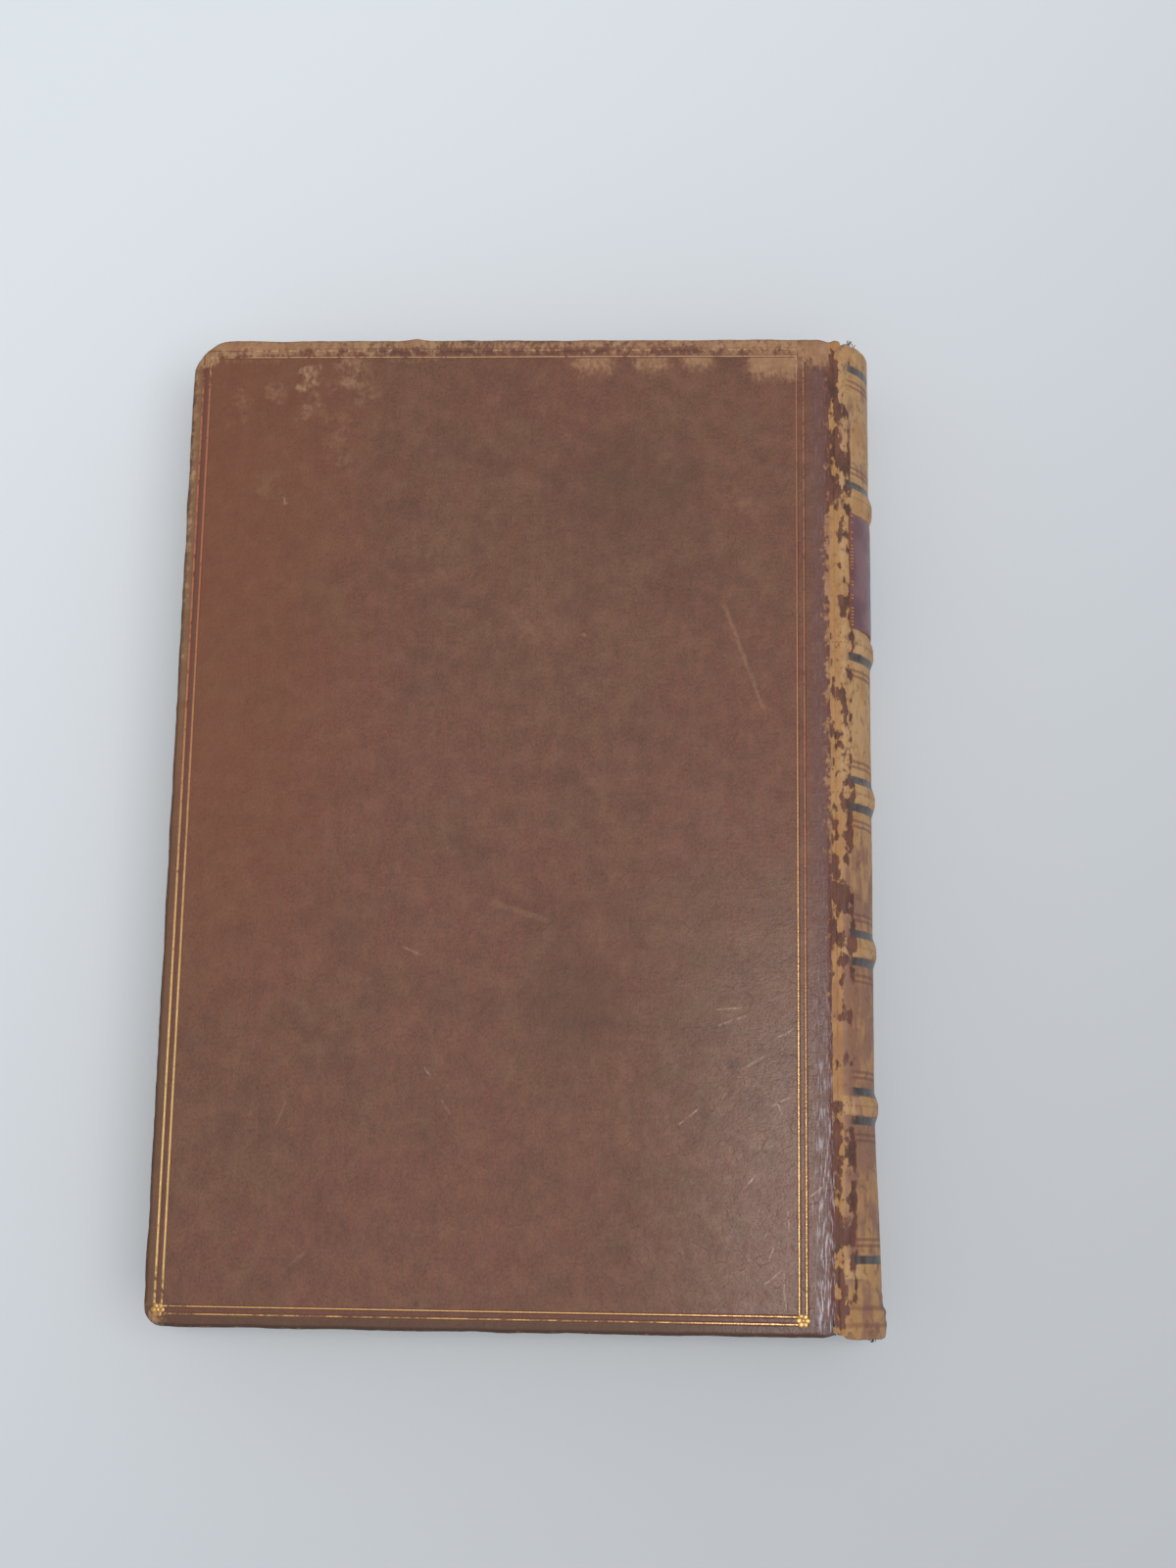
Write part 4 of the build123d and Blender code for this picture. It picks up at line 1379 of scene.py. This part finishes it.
# %% Tree of the label's border
def border_tree():
    """Gilt teeth along both curved sides of the label, some of them rubbed away."""
    tree, size = new_tree("label_border", {
        "Teeth": "Int", "Radius": "Float", "Angle": "Float", "Middle": "Vector", "Length": "Float",
        "Tooth": "Float", "Kept": "Float", "Seed": "Int", "Gilt": "Material"})
    count = size["Teeth"]
    number = count.geo("InputIndex")
    side = (number / count).math("FLOOR") * 2 - 1
    angle = size["Angle"] * side
    height = (number.math("MODULO", count) / (count - 1) - 0.5) * size["Length"]
    points = arc_points(count * 2, size["Radius"], angle, size["Middle"], height)
    brick = count.vector(X=size["Tooth"] * 0.3, Y=size["Tooth"] * 0.5, Z=size["Tooth"])
    tooth = count.geo("MeshCube", "Mesh", Size=brick)
    kept = (size["Kept"] - random_unit(size["Seed"])).math("GREATER_THAN", 0.0)
    teeth = count.geo("InstanceOnPoints", Points=points, Instance=tooth, Selection=kept,
                      Rotation=count.vector(Y=0.0 - angle))
    end_tree(tree, teeth, size["Gilt"])
    return tree


# %% Set the label's border
label_low, label_high = box_mm("title_label")
border = grow("label_border", border_tree(), {
    "Teeth": 34, "Radius": (BACK_RADIUS + 0.28) * MM, "Angle": radians(BAND_HALF - 3.2),
    "Middle": back_middle(mid_height("title_label")), "Length": (label_high[1] - label_low[1] - 2) * MM,
    "Tooth": 0.7 * MM, "Kept": 0.62, "Seed": 7, "Gilt": GOLD})
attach(border, "book_block")


# %% Tree of loose threads
def threads_tree():
    """Frayed threads that stand out of a worn headcap, bent at random."""
    tree, size = new_tree("threads", {
        "Threads": "Int", "Radius": "Float", "Angle": "Float", "Spread": "Float", "Middle": "Vector",
        "Length": "Float", "Thickness": "Float", "Seed": "Int", "Stuff": "Material"})
    count, length = size["Threads"], size["Length"]
    angle = size["Angle"] + (random_unit(size["Seed"]) - 0.5) * size["Spread"]
    points = arc_points(count, size["Radius"], angle, size["Middle"])
    bend, tip = count.vector(X=length * 0.1, Y=length * 0.6), count.vector(X=length * 0.6, Y=length)
    path = count.geo("CurveQuadraticBezier", "Curve", Resolution=7, Start=(0, 0, 0), Middle=bend, End=tip)
    hoop = count.geo("CurvePrimitiveCircle", "Curve", Resolution=5, Radius=size["Thickness"])
    thread = count.geo("CurveToMesh", "Mesh", Curve=path, Profile_Curve=hoop, Fill_Caps=True)
    twist = count.make("FunctionNodeRandomValue", {"data_type": "FLOAT_VECTOR"}, {
        "Min": (-0.5, -1.6, -0.7), "Max": (0.5, 1.6, 0.7), "Seed": size["Seed"]}, "Value")
    threads = count.geo("InstanceOnPoints", Points=points, Instance=thread, Rotation=twist)
    end_tree(tree, threads, size["Stuff"])
    return tree


# %% Fray the headcaps
fray = threads_tree()
frayed_ends = [("head", HEAD - 1.2, 1.2, 39, 7), ("tail", 0.3 - HEAD, -1.1, 12, 9)]
for end, place, length, angle, count in frayed_ends:
    piece = grow(f"threads_{end}", fray, {
        "Threads": count, "Radius": (BACK_RADIUS - 0.5) * MM, "Angle": radians(angle), "Spread": 0.2,
        "Middle": back_middle(place), "Length": length * MM, "Thickness": 0.09 * MM, "Seed": 3,
        "Stuff": LOOSE_THREAD})
    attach(piece, "book_block")

# %% Boards, cords and lining keep their CAD solids
plain_solids = {"_board": MILLBOARD, "_filler": MILLBOARD, "lining": LINING_CLOTH, "band_cord": HEMP}
for name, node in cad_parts.items():
    for word, finish in plain_solids.items():
        if word in name:
            node.data.materials.clear()
            node.data.materials.append(finish)
            print(name, "is dressed in", finish.name)

# %% [markdown]
# ## Table and light
# The book lies on a pale table under a broad soft light from the right, which leaves a soft shadow
# along the fore edge. A second panel overhead gives the polished calf its sheen near the tail. The
# levels are set so that a colour renders about as it is written.

# %% Table
def table_finish():
    """Pale table top, with painted shade darkening it towards the lower right."""
    finish, shader, place = new_finish("table_pale", Specular_IOR_Level=0.2, Roughness=0.7)
    x, y, _ = place.parts()
    # Painted shade: the top darkens towards the lower right
    painted_floor_shade = (x * 1.1 - y).step(-430, 430)
    dress(shader, Base_Color=painted_floor_shade.mix((0.82, 0.87, 0.92, 1), (0.485, 0.51, 0.54, 1)))
    return finish


bpy.ops.mesh.primitive_plane_add(size=4.0, location=(0, 0, -0.0003))
table = bpy.context.object
table.name = "table"
table.data.materials.append(table_finish())

# %% Light
world = bpy.data.worlds.new("room")
world.use_nodes = True
world.node_tree.nodes["Background"].inputs["Color"].default_value = (0.98, 0.99, 1.0, 1)
world.node_tree.nodes["Background"].inputs["Strength"].default_value = 0.5
bpy.context.scene.world = world


def panel(name, place, target, size, power):
    """A square area lamp that faces a target, all in metres."""
    lamp = bpy.data.lights.new(name, "AREA")
    lamp.size, lamp.energy = size, power
    holder = bpy.data.objects.new(name, lamp)
    holder.location = place
    aim = np.array(target) - np.array(place)
    tilt = acos(-aim[2] / np.linalg.norm(aim))
    holder.rotation_euler = (tilt, 0, np.arctan2(aim[1], aim[0]) - pi / 2)
    bpy.context.scene.collection.objects.link(holder)
    print(name, "lamp at", place, "tilt", round(degrees(tilt)), "degrees")


panel("window", (0.5, -0.2, 1.4), (0, 0, 0), 0.8, 7.0)
panel("ceiling", (0.14, -0.08, 1.5), (0.05, -0.05, 0), 0.28, 4.5)
bpy.context.scene.view_settings.view_transform = "Standard"
